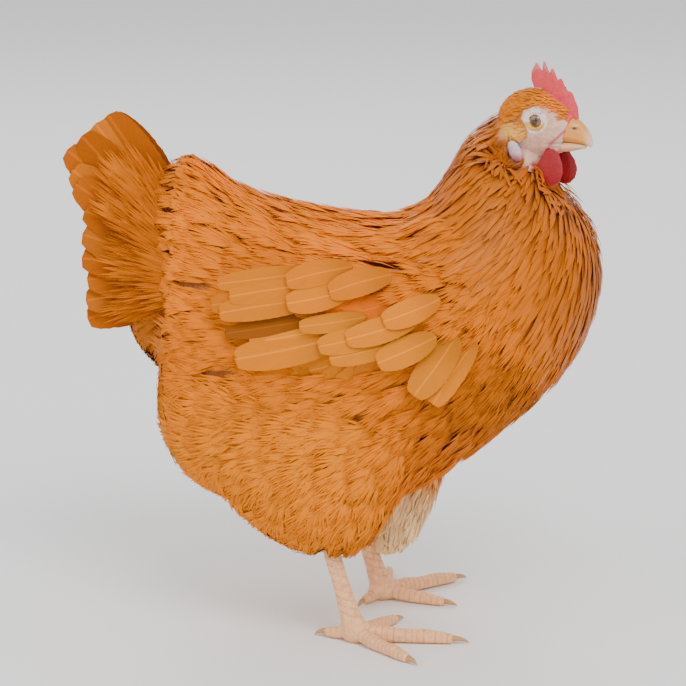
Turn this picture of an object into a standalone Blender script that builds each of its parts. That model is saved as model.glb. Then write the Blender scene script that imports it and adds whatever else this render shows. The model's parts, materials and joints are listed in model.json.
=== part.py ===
"""A buff hen of a heavy, broad breed, standing, at life size, as a museum shows one.

The hen faces +X with its left side at +Y and its feet on z = 0. All sizes are in metres.
Its body is one loft, whose sections are chords from the back line to the breast and belly
line, and thin gaps part it into tail, trunk and neck. The head is a loft of its own, turned
to the hen's right. Wings, thighs, comb, wattles, eyes and claws are set into these with the
same thin gap. The feet stand on small flats.
"""

import math
from dataclasses import dataclass

import bmesh
import bpy
import numpy as np
from mathutils import Matrix, Vector

# ---------------------------------------------------------------- driving dimensions

GAP = 0.0003  # between neighbouring solids

HEAD_PLACE = Vector((0.138, 0.0, 0.361))  # midway between the eyes
HEAD_TURN = math.radians(-22.0)  # towards the hen's right
NAPE_ASIDE = 0.0085  # how far the turned head carries the nape to the hen's left

FOOT_PLACES = {"right": Vector((0.0150, -0.055, 0.0)), "left": Vector((0.021, 0.045, 0.0))}
FOOT_TURNS = {"right": math.radians(3.0), "left": math.radians(44.0)}
SHANK_LENGTH = 0.086
SHANK_LEAN_BACK = math.radians(17.0)
SHANK_LEAN_IN = math.radians(3.0)

FLUFF_BOTTOMS = {"right": 0.061, "left": 0.034}  # how low the thigh feathers hang
FLUFF_TOP = 0.192
FLUFF_AHEAD = {"right": -0.002, "left": 0.019}  # the left leg's feathers reach further forward

EYE_RADIUS = 0.0062
EYE_OUT = 0.0088  # the eyeball's centre, from the head's middle

SIDES = {"right": -1.0, "left": 1.0}

BUFF = (0.72, 0.36, 0.10)
PALE_BUFF = (0.76, 0.53, 0.28)
RED = (0.66, 0.04, 0.07)
PINK = (0.76, 0.24, 0.24)
FACE = (0.80, 0.58, 0.48)
HORN = (0.80, 0.52, 0.24)
SHANK = (0.82, 0.60, 0.42)
EYE = (0.20, 0.09, 0.02)


@dataclass(frozen=True)
class Station:
    """One section of a loft: a chord in the plane of symmetry, and the body's width there.

    back and front are the chord's ends as (x, z). skew moves the widest place from the
    chord's middle towards its front end, and a boxy below 1 squares the section.
    """

    back: tuple
    front: tuple
    half_width: float
    skew: float = 0.0
    boxy: float = 0.9

    def numbers(self):
        return (*self.back, *self.front, self.half_width, self.skew, self.boxy)


# From the tail's root along the body and up the neck to the nape.
BODY = (
    Station((-0.112, 0.334), (-0.121, 0.167), 0.056),
    Station((-0.097, 0.327), (-0.128, 0.141), 0.070),
    Station((-0.076, 0.313), (-0.116, 0.111), 0.082, 0.03),
    Station((-0.048, 0.303), (-0.086, 0.091), 0.089, 0.04),
    Station((-0.012, 0.297), (-0.030, 0.080), 0.092, 0.03),
    Station((0.024, 0.293), (0.035, 0.090), 0.092, 0.0, 0.85),
    Station((0.048, 0.297), (0.086, 0.118), 0.090, -0.03, 0.85),
    Station((0.060, 0.306), (0.124, 0.150), 0.086, -0.05, 0.88),
    Station((0.068, 0.319), (0.156, 0.184), 0.079, -0.04, 0.92),
    Station((0.075, 0.332), (0.176, 0.222), 0.069, -0.03, 0.95),
    Station((0.083, 0.346), (0.181, 0.258), 0.057, -0.03, 0.97),
    Station((0.093, 0.356), (0.1750, 0.286), 0.034, -0.04, 1.1),
    Station((0.103, 0.366), (0.1610, 0.308), 0.0155, -0.04, 1.1),
    Station((0.111, 0.374), (0.1400, 0.330), 0.0110, 0.0, 1.1),
)
TAIL_END = 0.0  # the station that parts tail from trunk
BODY_SIDES = 18
NECK_RINGS = 10
NECK_START = 7.6  # the place between stations that parts trunk from neck

# The tail's soft base, from the trunk back to its rounded end.
TAIL_BASE = (
    Station((-0.1123, 0.334), (-0.1213, 0.167), 0.056),
    Station((-0.130, 0.346), (-0.143, 0.180), 0.051),
    Station((-0.148, 0.350), (-0.159, 0.202), 0.040),
    Station((-0.161, 0.342), (-0.168, 0.226), 0.027),
    Station((-0.168, 0.322), (-0.171, 0.252), 0.012),
)

# In the head's own frame: x forward, z up from the middle of the eyes.
HEAD = (
    Station((-0.0315, 0.002), (-0.0285, -0.009), 0.0050),
    Station((-0.0285, 0.0095), (-0.0245, -0.0200), 0.0110, 0.0, 1.0),
    Station((-0.0205, 0.0165), (-0.0165, -0.0262), 0.0140, -0.03, 0.95),
    Station((-0.0095, 0.0198), (-0.0075, -0.0280), 0.0148, -0.05, 0.9),
    Station((0.0020, 0.0192), (0.0010, -0.0272), 0.0138, -0.06, 0.9),
    Station((0.0105, 0.0152), (0.0065, -0.0255), 0.0118, -0.04, 0.9),
    Station((0.0175, 0.0092), (0.0115, -0.0235), 0.0098, 0.0, 0.9),
    Station((0.0230, 0.0035), (0.0150, -0.0222), 0.0078, 0.05, 0.9),
)
BEAK_UPPER = (
    Station((0.0233, 0.0033), (0.0174, -0.0145), 0.0076, 0.12, 0.8),
    Station((0.0287, 0.0000), (0.0235, -0.0145), 0.0064, 0.12, 0.8),
    Station((0.0332, -0.0048), (0.0290, -0.0148), 0.0050, 0.12, 0.85),
    Station((0.0362, -0.0100), (0.0336, -0.0156), 0.0033, 0.10, 0.9),
    Station((0.0371, -0.0148), (0.0361, -0.0172), 0.0013, 0.0, 1.0),
)
BEAK_LOWER = (
    Station((0.0173, -0.0149), (0.0153, -0.0218), 0.0070, -0.10, 0.8),
    Station((0.0228, -0.0150), (0.0220, -0.0210), 0.0058, -0.10, 0.8),
    Station((0.0282, -0.0153), (0.0279, -0.0195), 0.0042, -0.10, 0.85),
    Station((0.0322, -0.0162), (0.0324, -0.0183), 0.0020, 0.0, 1.0),
)


@dataclass(frozen=True)
class Toe:
    """One toe. Its angle is from the middle toe towards the other leg."""

    name: str
    angle: float
    length: float
    thick: float
    claw: float
    pads: int
    rise: float = 0.0  # its tip's height above lying flat


TOES = (
    Toe("hind", math.radians(160), 0.0215, 0.0046, 0.010, 1, 0.0010),
    Toe("inner", math.radians(58), 0.0500, 0.0050, 0.012, 2),
    Toe("middle", 0.0, 0.0690, 0.0056, 0.014, 3),
    Toe("outer", math.radians(-47), 0.0600, 0.0051, 0.012, 3),
)
TOE_ROOT = 0.006  # how far from the pad's middle a toe springs
PAD_RADIUS = 0.0098
PAD_HEIGHT = 0.0078  # its middle; what would reach below the floor is cut flat
PAD_AHEAD = 0.002  # its middle, ahead of the foot's place
CLAW_RADIUS = 0.0024


@dataclass(frozen=True)
class Spike:
    """One point of the comb: where it rises along the comb's foot, and how high."""

    along: float
    height: float


COMB_FRONT = Vector((0.0262, 0.0, 0.0015))
COMB_REAR = Vector((-0.0040, 0.0, 0.0185))
COMB_SAG = 0.0052  # how far the crown stands above the straight line between them
COMB_SPIKES = (
    Spike(0.20, 0.0118),
    Spike(0.42, 0.0150),
    Spike(0.61, 0.0186),
    Spike(0.80, 0.0218),
    Spike(0.97, 0.0200),
)
COMB_THICK = 0.0042
COMB_LEAN = -0.10  # sideways drop of its points, as a share of their height

WATTLE_TOP = Vector((0.0105, 0.0095, -0.0235))
WATTLE_SIZE = Vector((0.0108, 0.0019, 0.0150))
WATTLE_SPLAY = math.radians(12)
EARLOBE_PLACE = Vector((-0.0138, 0.0155, -0.0215))
EARLOBE_SIZE = Vector((0.0050, 0.0026, 0.0082))
EARLOBE_TILT = math.radians(-28)
# The neck's feathers part round the earlobes and wattles, which leaves these hollows in it.
LOBE_HOLLOW = Vector((0.0085, 0.0140, 0.0120))
LOBE_HOLLOW_OUT = 0.0100
WATTLE_HOLLOW = Vector((0.0125, 0.0210, 0.0165))
WATTLE_HOLLOW_PLACE = Vector((0.0175, 0.0, -0.0365))


# Share of the height up the thigh, with half length, half width and middle x and |y| there.
THIGH_SECTIONS = (
    (0.00, 0.015, 0.012, 0.002, 0.051),
    (0.05, 0.028, 0.019, -0.002, 0.051),
    (0.16, 0.046, 0.028, -0.009, 0.052),
    (0.34, 0.064, 0.037, -0.014, 0.055),
    (0.56, 0.078, 0.041, -0.014, 0.057),
    (0.76, 0.074, 0.038, -0.008, 0.056),
    (0.92, 0.052, 0.024, 0.000, 0.050),
    (1.00, 0.026, 0.011, 0.004, 0.046),
)
# Up the bare shank: the share of its length, and its radius there.
SHANK_SECTIONS = (
    (0.00, 0.0074),
    (0.12, 0.0066),
    (0.35, 0.0058),
    (0.62, 0.0059),
    (0.85, 0.0070),
    (1.00, 0.0074),
)
SHANK_START = 0.0065  # how far above the ankle the bare shank leaves the foot
ANKLE_SECTIONS = ((-0.020, 0.0090), (0.030, 0.0084), (0.066, 0.0076))

# From the rear up to the shoulder: x, middle z, half height, half thickness, |y| of the middle.
WING_SECTIONS = (
    (-0.052, 0.236, 0.012, 0.0035, 0.0835),
    (-0.044, 0.236, 0.024, 0.0070, 0.0845),
    (-0.020, 0.234, 0.034, 0.0105, 0.0860),
    (0.012, 0.231, 0.041, 0.0130, 0.0860),
    (0.044, 0.229, 0.043, 0.0140, 0.0840),
    (0.072, 0.230, 0.041, 0.0130, 0.0790),
    (0.092, 0.234, 0.033, 0.0105, 0.0730),
    (0.104, 0.238, 0.019, 0.0060, 0.0685),
)


@dataclass(frozen=True)
class Quill:
    """One large feather as a flat blade: both ends as (x, z), with |y| there, and its width."""

    root: tuple
    root_out: float
    tip: tuple
    tip_out: float
    width: float


QUILL_THICK = 0.0018
QUILL_BOW = 0.003  # how far a large feather's middle stands out from its straight line
# One wing's flight feathers: the higher group from the top down, then the lower one.
WING_QUILLS = (
    Quill((0.0300, 0.2600), 0.0955, (-0.0715, 0.2610), 0.0845, 0.022),
    Quill((0.0280, 0.2533), 0.0955, (-0.0763, 0.2537), 0.0855, 0.022),
    Quill((0.0260, 0.2467), 0.0955, (-0.0763, 0.2463), 0.0865, 0.022),
    Quill((0.0240, 0.2400), 0.0955, (-0.0715, 0.2390), 0.0875, 0.022),
    Quill((0.0360, 0.2200), 0.0968, (-0.0660, 0.2260), 0.0875, 0.023),
    Quill((0.0360, 0.2140), 0.0968, (-0.0590, 0.2170), 0.0885, 0.023),
    Quill((0.0360, 0.2080), 0.0968, (-0.0520, 0.2080), 0.0895, 0.023),
)
WING_FACING_UP = 0.16  # how far up a flight feather's flat side looks, as a share of sideways
WING_LEAN = 0.10  # how far the wing's top leans in, as a share of its height
TAIL_FAN = (-0.080, 0.245)  # where the tail feathers' lines meet, as (x, z)
TAIL_START = 0.066  # from there to their roots
TAIL_FACING_UP = 0.35  # how far up a tail feather's flat side looks, as a share of sideways
# Each pair of tail feathers: its rise in degrees, its reach, |y| at root and tip, its width.
TAIL_PAIRS = (
    (52, 0.139, 0.005, 0.005, 0.027),
    (45, 0.141, 0.009, 0.011, 0.027),
    (38, 0.137, 0.013, 0.018, 0.027),
    (28, 0.113, 0.018, 0.026, 0.028),
    (15, 0.099, 0.023, 0.030, 0.030),
    (1, 0.095, 0.026, 0.030, 0.030),
    (-12, 0.099, 0.026, 0.024, 0.028),
)


# ---------------------------------------------------------------- shapes


def smooth_rows(rows, places):
    """Rows of numbers read at fractional places along them, on a Catmull-Rom curve."""
    rows = np.array(rows, float)
    padded = np.vstack([2 * rows[0] - rows[1], rows, 2 * rows[-1] - rows[-2]])
    found = []
    for place in places:
        i = min(int(place), len(rows) - 2)
        t = place - i
        p0, p1, p2, p3 = padded[i : i + 4]
        found.append(
            p1
            + 0.5 * t * (p2 - p0)
            + t * t * (p0 - 2.5 * p1 + 2 * p2 - 0.5 * p3)
            + 0.5 * t**3 * (3 * (p1 - p2) + p3 - p0)
        )
    return np.array(found)


def section(numbers, sides):
    """The points of one section, round from the back line."""
    back_x, back_z, front_x, front_z, half_width, skew, boxy = numbers
    points = []
    for i in range(sides):
        angle = 2 * math.pi * i / sides
        sine = math.sin(angle)
        along = (1 - math.cos(angle)) / 2 + skew * sine * sine
        out = half_width * math.copysign(abs(sine) ** boxy, sine)
        x = back_x + (front_x - back_x) * along
        z = back_z + (front_z - back_z) * along
        points.append(Vector((x, out, z)))
    return points


def lofted(name, rings, material):
    """A closed solid through rings of equal count, with a flat cap at either end."""
    mesh = bpy.data.meshes.new(name)
    bm = bmesh.new()
    rows = [[bm.verts.new(point) for point in ring] for ring in rings]
    count = len(rows[0])
    for low, high in zip(rows, rows[1:]):
        for i in range(count):
            j = (i + 1) % count
            bm.faces.new((low[i], low[j], high[j], high[i]))
    bm.faces.new(rows[0][::-1])
    bm.faces.new(rows[-1])
    bmesh.ops.recalc_face_normals(bm, faces=bm.faces)
    bmesh.ops.triangulate(bm, faces=bm.faces)
    bm.to_mesh(mesh)
    bm.free()
    return dressed(name, mesh, material)


def dressed(name, mesh, material):
    """An object in the scene with its material, shaded smooth over blunt edges."""
    if material is not None:
        mesh.materials.append(material)
    mesh.shade_smooth()
    mesh.set_sharp_from_angle(angle=math.radians(50))
    made = bpy.data.objects.new(name, mesh)
    bpy.context.scene.collection.objects.link(made)
    return made


def loft(name, stations, places, sides, material):
    """A loft through stations, with a ring at each of the places along them."""
    rows = smooth_rows([station.numbers() for station in stations], places)
    return lofted(name, [section(row, sides) for row in rows], material)


def tube(name, path, radii, sides, material, flatten=1.0):
    """A round tube along a path, with a radius at each of its points."""
    rings = []
    for i, point in enumerate(path):
        before, after = path[max(i - 1, 0)], path[min(i + 1, len(path) - 1)]
        turn = (after - before).to_track_quat("Z", "Y").to_matrix()
        ring = []
        for k in range(sides):
            angle = 2 * math.pi * (k + 0.5) / sides
            spoke = Vector((math.cos(angle), math.sin(angle) * flatten, 0))
            ring.append(point + turn @ (spoke * radii[i]))
        rings.append(ring)
    return lofted(name, rings, material)


def ball(name, place, size, columns, rows, material, turn=None):
    """A closed ellipsoid with its poles up and down."""
    mesh = bpy.data.meshes.new(name)
    bm = bmesh.new()
    bmesh.ops.create_uvsphere(bm, u_segments=columns, v_segments=rows, radius=1.0)
    bmesh.ops.triangulate(bm, faces=bm.faces)
    bm.transform(Matrix.Diagonal((*size, 1.0)))
    if turn is not None:
        bm.transform(turn.to_4x4())
    bm.transform(Matrix.Translation(place))
    bm.to_mesh(mesh)
    bm.free()
    return dressed(name, mesh, material)


def helper(made):
    """Marks a cutter or a piece that another solid takes in, so that it isn't a part."""
    made.hide_render = True
    made.display_type = "WIRE"
    return made


def grown(source, by):
    """A copy of a solid with its surface moved outwards."""
    mesh = source.data.copy()
    bm = bmesh.new()
    bm.from_mesh(mesh)
    bm.normal_update()
    moves = []
    for vert in bm.verts:
        facing = min(face.normal.dot(vert.normal) for face in vert.link_faces)
        moves.append(vert.normal * (by / max(facing, 0.25)))
    for vert, move in zip(bm.verts, moves):
        vert.co += move
    bm.to_mesh(mesh)
    bm.free()
    made = bpy.data.objects.new(source.name + "_room", mesh)
    bpy.context.scene.collection.objects.link(made)
    made.matrix_world = source.matrix_world
    return helper(made)


def combine(target, operation, others):
    """Cuts other solids from a target, or joins them to it."""
    for other in others:
        modifier = target.modifiers.new(f"{operation.lower()} {other.name}", "BOOLEAN")
        modifier.operation = operation
        modifier.object = other
        modifier.solver = "EXACT"


def make_room(target, *neighbours):
    """Cuts a target back from its neighbours, by the gap."""
    combine(target, "DIFFERENCE", [grown(neighbour, GAP) for neighbour in neighbours])


def blade(name, root, tip, width, facing, material, bow=0.0):
    """A large feather: a thin blade with a raised shaft and a round tip.

    It lies across facing, the direction its flat side looks, and bows that way by bow.
    """
    ahead = (tip - root).normalized()
    across = facing.cross(ahead).normalized()
    out = ahead.cross(across).normalized()
    shape = ((0.0, 0.55), (0.55, 1.0), (0.90, 0.78), (1.0, 0.28))
    rings = []
    for along, share in shape:
        middle = root.lerp(tip, along) + out * (bow * math.sin(math.pi * along))
        half, shaft = width / 2 * share, QUILL_THICK / 2
        profile = ((-half, 0), (0, -shaft), (half, 0), (0, shaft))
        rings.append([middle + across * a + out * b for a, b in profile])
    return lofted(name, rings, material)


def paint(name, colour, roughness, metallic=0.0):
    """A plain material."""
    made = bpy.data.materials.new(name)
    made.use_nodes = True
    shader = made.node_tree.nodes["Principled BSDF"]
    shader.inputs["Base Color"].default_value = (*colour, 1.0)
    shader.inputs["Roughness"].default_value = roughness
    shader.inputs["Metallic"].default_value = metallic
    made.diffuse_color = (*colour, 1.0)
    return made


# ---------------------------------------------------------------- body


def build_body(buff):
    """Trunk and neck, parted by the gap."""
    trunk = loft("trunk", BODY, np.linspace(TAIL_END, NECK_START, 13), BODY_SIDES, buff)
    neck = loft("neck", BODY, np.linspace(NECK_START, len(BODY) - 1, NECK_RINGS), BODY_SIDES, buff)
    # The neck's first ring moves off the trunk's last one, square to their shared plane.
    back_x, back_z, front_x, front_z = smooth_rows(
        [station.numbers() for station in BODY], [NECK_START]
    )[0][:4]
    chord = Vector((front_x - back_x, 0, front_z - back_z)).normalized()
    away = Vector((-chord.z, 0, chord.x)) * GAP
    for vert in neck.data.vertices[:BODY_SIDES]:
        vert.co += away
    for ring in range(NECK_RINGS):
        share = ring / (NECK_RINGS - 1)
        for vert in neck.data.vertices[ring * BODY_SIDES : (ring + 1) * BODY_SIDES]:
            vert.co.y += NAPE_ASIDE * share**2
    return trunk, neck


def tail_quills():
    """The tail's feathers as quills, in a tent from the highest pair down to the lowest."""
    fan_x, fan_z = TAIL_FAN
    found = []
    for degrees, reach, root_out, tip_out, width in TAIL_PAIRS:
        along, up = -math.cos(math.radians(degrees)), math.sin(math.radians(degrees))
        root = (fan_x + TAIL_START * along, fan_z + TAIL_START * up)
        tip = (fan_x + reach * along, fan_z + reach * up)
        found.append(Quill(root, root_out, tip, tip_out, width))
    return found


def build_tail(buff):
    """The tail: its soft base with the main feathers and side coverts grown into it."""
    base = loft("tail", TAIL_BASE, np.linspace(0, len(TAIL_BASE) - 1, 7), 14, buff)
    for number, quill in enumerate(tail_quills()):
        for side, sign in SIDES.items():
            root = Vector((quill.root[0], sign * quill.root_out, quill.root[1]))
            tip = Vector((quill.tip[0], sign * quill.tip_out, quill.tip[1]))
            facing = Vector((0.0, sign, TAIL_FACING_UP))
            name = f"tail_feather_{side}_{number}"
            feather = blade(name, root, tip, quill.width, facing, buff, QUILL_BOW)
            combine(base, "UNION", [helper(feather)])
    return base


# ---------------------------------------------------------------- wings


def build_wing(side, buff):
    """A folded wing: a full pod against the body, with its flight feathers laid along it."""
    sign = SIDES[side]
    rings = []
    for x, z, half_height, half_thick, out in smooth_rows(WING_SECTIONS, np.linspace(0, 7, 9)):
        ring = []
        for k in range(12):
            angle = 2 * math.pi * k / 12
            rise = math.cos(angle)
            lean = WING_LEAN * half_height * rise
            y = sign * (out + half_thick * math.sin(angle) - lean)
            ring.append(Vector((x, y, z + half_height * rise)))
        rings.append(ring)
    wing = lofted(f"wing_{side}", rings, buff)
    for number, quill in enumerate(WING_QUILLS):
        root = Vector((quill.root[0], sign * quill.root_out, quill.root[1]))
        tip = Vector((quill.tip[0], sign * quill.tip_out, quill.tip[1]))
        facing = Vector((0.0, sign, WING_FACING_UP))
        name = f"flight_feather_{side}_{number}"
        feather = blade(name, root, tip, quill.width, facing, buff, QUILL_BOW)
        combine(wing, "UNION", [helper(feather)])
    return wing


# ---------------------------------------------------------------- thighs, legs and feet


def build_thigh(side, material):
    """A thigh in its loose feathers, down to where the bare shank shows."""
    sign, low = SIDES[side], FLUFF_BOTTOMS[side]
    rings = []
    for share, half_long, half_wide, x, y in smooth_rows(THIGH_SECTIONS, np.linspace(0, 7, 10)):
        z = low + (FLUFF_TOP - low) * share
        shift = FLUFF_AHEAD[side] * (1 - 0.6 * share)
        ring = []
        for k in range(16):
            angle = 2 * math.pi * k / 16
            ring.append(
                Vector(
                    (
                        x + shift + half_long * math.cos(angle),
                        sign * (y + half_wide * math.sin(angle)),
                        z,
                    )
                )
            )
        rings.append(ring)
    return lofted(f"thigh_{side}", rings, material)


def shank_line(side):
    """The shank's lower and upper ends."""
    foot = FOOT_PLACES[side] + Vector((0, 0, PAD_RADIUS + 0.002))
    rise = Vector((-math.sin(SHANK_LEAN_BACK), 0, math.cos(SHANK_LEAN_BACK)))
    rise.y = -SIDES[side] * math.sin(SHANK_LEAN_IN)
    return foot, foot + rise.normalized() * SHANK_LENGTH


def build_shank(side, material):
    """The bare lower leg, slim in the middle."""
    low, high = shank_line(side)
    start = low + (high - low).normalized() * SHANK_START
    path = [start.lerp(high, along) for along, _ in SHANK_SECTIONS]
    return tube(f"shank_{side}", path, [radius for _, radius in SHANK_SECTIONS], 10, material)


def toe_path(side, toe):
    """Points along a toe's middle, its radii, and the way it points."""
    turn = FOOT_TURNS[side] - SIDES[side] * toe.angle
    ahead = Vector((math.cos(turn), math.sin(turn), 0))
    steps = 2 * toe.pads + 1
    path, radii = [], []
    for i in range(steps + 1):
        along = i / steps
        swell = 0.00045 * math.cos(2 * math.pi * toe.pads * along)
        radius = toe.thick * (1.08 - 0.20 * along) + swell
        if i == steps:
            radius *= 0.72
        drop = (PAD_RADIUS - toe.thick) * 0.55 * max(0.0, 1 - 3 * along)
        height = radius * 0.93 + drop + toe.rise * along
        centre = FOOT_PLACES[side] + ahead * (TOE_ROOT + (toe.length - TOE_ROOT) * along)
        path.append(centre + Vector((0, 0, height)))
        radii.append(radius)
    return path, radii, ahead


def build_foot(side, material):
    """A foot: the pad under the shank with four toes, on flats at the floor."""
    place = FOOT_PLACES[side]
    pad = ball(
        f"foot_{side}",
        place + Vector((PAD_AHEAD, 0, PAD_HEIGHT)),
        (PAD_RADIUS * 1.12, PAD_RADIUS, PAD_RADIUS * 0.95),
        10,
        6,
        material,
    )
    for toe in TOES:
        path, radii, _ = toe_path(side, toe)
        combine(pad, "UNION", [helper(tube(f"toe_{toe.name}_{side}", path, radii, 6, material))])
    low, high = shank_line(side)
    ankle = [low.lerp(high, along) for along, _ in ANKLE_SECTIONS]
    neck = tube(f"ankle_{side}", ankle, [radius for _, radius in ANKLE_SECTIONS], 8, material)
    combine(pad, "UNION", [helper(neck)])
    floor = bpy.data.meshes.new(f"floor_{side}")
    bm = bmesh.new()
    bmesh.ops.create_cube(bm, size=0.3)
    bm.transform(Matrix.Translation(place - Vector((0, 0, 0.15))))
    bm.to_mesh(floor)
    bm.free()
    below = bpy.data.objects.new(f"floor_{side}", floor)
    bpy.context.scene.collection.objects.link(below)
    combine(pad, "DIFFERENCE", [helper(below)])
    return pad


def build_claws(side, material):
    """A curved claw on the end of each toe."""
    for toe in TOES:
        path, radii, ahead = toe_path(side, toe)
        root = path[-1] + Vector((0, 0, radii[-1] * 0.15))
        claw_path, claw_radii = [], []
        for i in range(4):
            along = i / 3
            bend = math.radians(62) * along
            reach = toe.claw * math.sin(bend) / math.radians(62)
            fall = toe.claw * (1 - math.cos(bend)) / math.radians(62)
            point = root + ahead * (GAP + reach) - Vector((0, 0, fall * 0.75))
            claw_path.append(point)
            claw_radii.append(CLAW_RADIUS * (1 - 0.86 * along**1.3))
        lowest = min(p.z - r for p, r in zip(claw_path, claw_radii))
        if lowest < GAP:
            last = claw_path[0].z
            squeeze = (last - GAP - CLAW_RADIUS * 0.3) / (last - lowest)
            for point in claw_path:
                point.z = last + (point.z - last) * squeeze
        tube(f"claw_{toe.name}_{side}", claw_path, claw_radii, 6, material)


# ---------------------------------------------------------------- head


def place_on_head(made):
    """Takes a mesh from the head's own frame to its place, turned with the head."""
    made.data.transform(Matrix.Translation(HEAD_PLACE) @ Matrix.Rotation(HEAD_TURN, 4, "Z"))
    return made


def comb_outline():
    """The comb's outline in the head's plane, from its front foot round to its rear foot."""

    def foot(along):
        straight = COMB_FRONT.lerp(COMB_REAR, along)
        return straight + Vector((0, 0, COMB_SAG * math.sin(math.pi * along)))

    points = [foot(0.0), foot(0.05) + Vector((0.0005, 0, 0.006))]
    for number, spike in enumerate(COMB_SPIKES):
        base = foot(spike.along)
        lean = -0.0003 * number
        points.append(base + Vector((0.0022, 0, spike.height * 0.66)))
        points.append(base + Vector((0.0006 + lean, 0, spike.height * 0.96)))
        points.append(base + Vector((-0.0006 + lean, 0, spike.height)))
        if number + 1 < len(COMB_SPIKES):
            following = COMB_SPIKES[number + 1]
            between = foot((spike.along + following.along) / 2)
            height = 0.64 * (spike.height + following.height) / 2
            points.append(between + Vector((0.0002, 0, height)))
    rear = foot(1.0)
    points.append(rear + Vector((-0.0042, 0, 0.0140)))
    points.append(rear + Vector((-0.0048, 0, 0.0080)))
    points.append(rear + Vector((-0.0020, 0, 0.0015)))
    points.append(rear + Vector((0.0, 0, -0.0030)))
    points.append(COMB_FRONT.lerp(COMB_REAR, 0.5) + Vector((0, 0, -0.0020)))
    points.append(COMB_FRONT + Vector((-0.0015, 0, -0.0040)))
    return points


def build_comb(material, *below):
    """The single comb: an upright blade with five points, thick at its foot."""
    mesh = bpy.data.meshes.new("comb")
    bm = bmesh.new()
    face = bm.faces.new([bm.verts.new(point) for point in comb_outline()])
    bmesh.ops.triangulate(bm, faces=[face])
    around = bmesh.ops.extrude_face_region(bm, geom=list(bm.faces))
    far = {item for item in around["geom"] if isinstance(item, bmesh.types.BMVert)}
    for vert in bm.verts:
        rise = max(0.0, vert.co.z - COMB_FRONT.z) / 0.042
        half = COMB_THICK / 2 * (1.15 - 0.75 * min(1.0, rise))
        lean = COMB_LEAN * max(0.0, vert.co.z - 0.015)
        vert.co.y = (half if vert in far else -half) + lean
    bmesh.ops.triangulate(bm, faces=bm.faces)
    bmesh.ops.recalc_face_normals(bm, faces=bm.faces)
    bm.to_mesh(mesh)
    bm.free()
    comb = place_on_head(dressed("comb", mesh, material))
    make_room(comb, *below)
    return comb


def build_wattle(side, material, head):
    """A wattle: a thin, rounded leaf that hangs from the jaw and widens downwards."""
    sign = SIDES[side]
    centre = Vector((WATTLE_TOP.x, sign * WATTLE_TOP.y, WATTLE_TOP.z - WATTLE_SIZE.z * 0.55))
    wattle = ball(f"wattle_{side}", Vector(), WATTLE_SIZE, 10, 7, material)
    splay = Matrix.Rotation(sign * WATTLE_SPLAY, 4, "X")
    for vert in wattle.data.vertices:
        height = vert.co.z / WATTLE_SIZE.z
        vert.co.x *= 1.0 - 0.34 * max(0.0, height) - 0.10 * height
        vert.co.y += sign * 0.0016 * (vert.co.x / WATTLE_SIZE.x) ** 2
    wattle.data.transform(Matrix.Translation(centre) @ splay)
    place_on_head(wattle)
    make_room(wattle, head)
    return wattle


def build_earlobe(side, material, head):
    """An earlobe, flat against the cheek behind the jaw."""
    sign = SIDES[side]
    place = Vector((EARLOBE_PLACE.x, sign * EARLOBE_PLACE.y, EARLOBE_PLACE.z))
    turn = Matrix.Rotation(EARLOBE_TILT, 3, "Y")
    lobe = ball(f"earlobe_{side}", place, EARLOBE_SIZE, 8, 6, material, turn)
    place_on_head(lobe)
    make_room(lobe, head)
    return lobe


def build_hollows():
    """The hollows that the neck's feathers leave, as cutters."""
    hollows = [ball("wattle_hollow", WATTLE_HOLLOW_PLACE, WATTLE_HOLLOW, 12, 8, None)]
    for side, sign in SIDES.items():
        place = Vector((EARLOBE_PLACE.x, sign * (EARLOBE_PLACE.y + LOBE_HOLLOW_OUT), EARLOBE_PLACE.z))
        hollows.append(ball(f"lobe_hollow_{side}", place, LOBE_HOLLOW, 12, 8, None))
    return [helper(place_on_head(hollow)) for hollow in hollows]


def build_head(paints):
    """The head with its eyes, bill, comb, wattles and earlobes. Returns what the neck clears."""
    head = place_on_head(loft("head", HEAD, np.linspace(0, 7, 11), 16, paints["face"]))
    uppers = np.linspace(0, 4, 6)
    lowers = np.linspace(0, 3, 5)
    bill = place_on_head(loft("beak_upper", BEAK_UPPER, uppers, 10, paints["horn"]))
    place_on_head(loft("beak_lower", BEAK_LOWER, lowers, 10, paints["horn"]))
    hanging = []
    for side, sign in SIDES.items():
        centre = Vector((0.0, sign * EYE_OUT, 0.0))
        size = (EYE_RADIUS, EYE_RADIUS, EYE_RADIUS)
        eye = place_on_head(ball(f"eye_{side}", centre, size, 10, 7, paints["eye"]))
        hanging.append(build_wattle(side, paints["red"], head))
        hanging.append(build_earlobe(side, paints["pink"], head))
        make_room(head, eye)
    build_comb(paints["pink"], head, bill)
    return [head, *hanging]


# ---------------------------------------------------------------- the whole hen


def stand_on_middle(objects):
    """Moves the hen so that the floor point under the middle of its box is the origin."""
    bpy.context.view_layer.update()
    graph = bpy.context.evaluated_depsgraph_get()
    lows, highs = [], []
    for made in objects:
        if made.hide_render:
            continue
        mesh = made.evaluated_get(graph).to_mesh()
        points = np.empty(len(mesh.vertices) * 3)
        mesh.vertices.foreach_get("co", points)
        lows.append(points.reshape(-1, 3).min(0))
        highs.append(points.reshape(-1, 3).max(0))
    low, high = np.min(lows, axis=0), np.max(highs, axis=0)
    middle = Vector((-(low[0] + high[0]) / 2, -(low[1] + high[1]) / 2, 0))
    for mesh in {made.data for made in objects}:
        mesh.transform(Matrix.Translation(middle))


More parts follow.
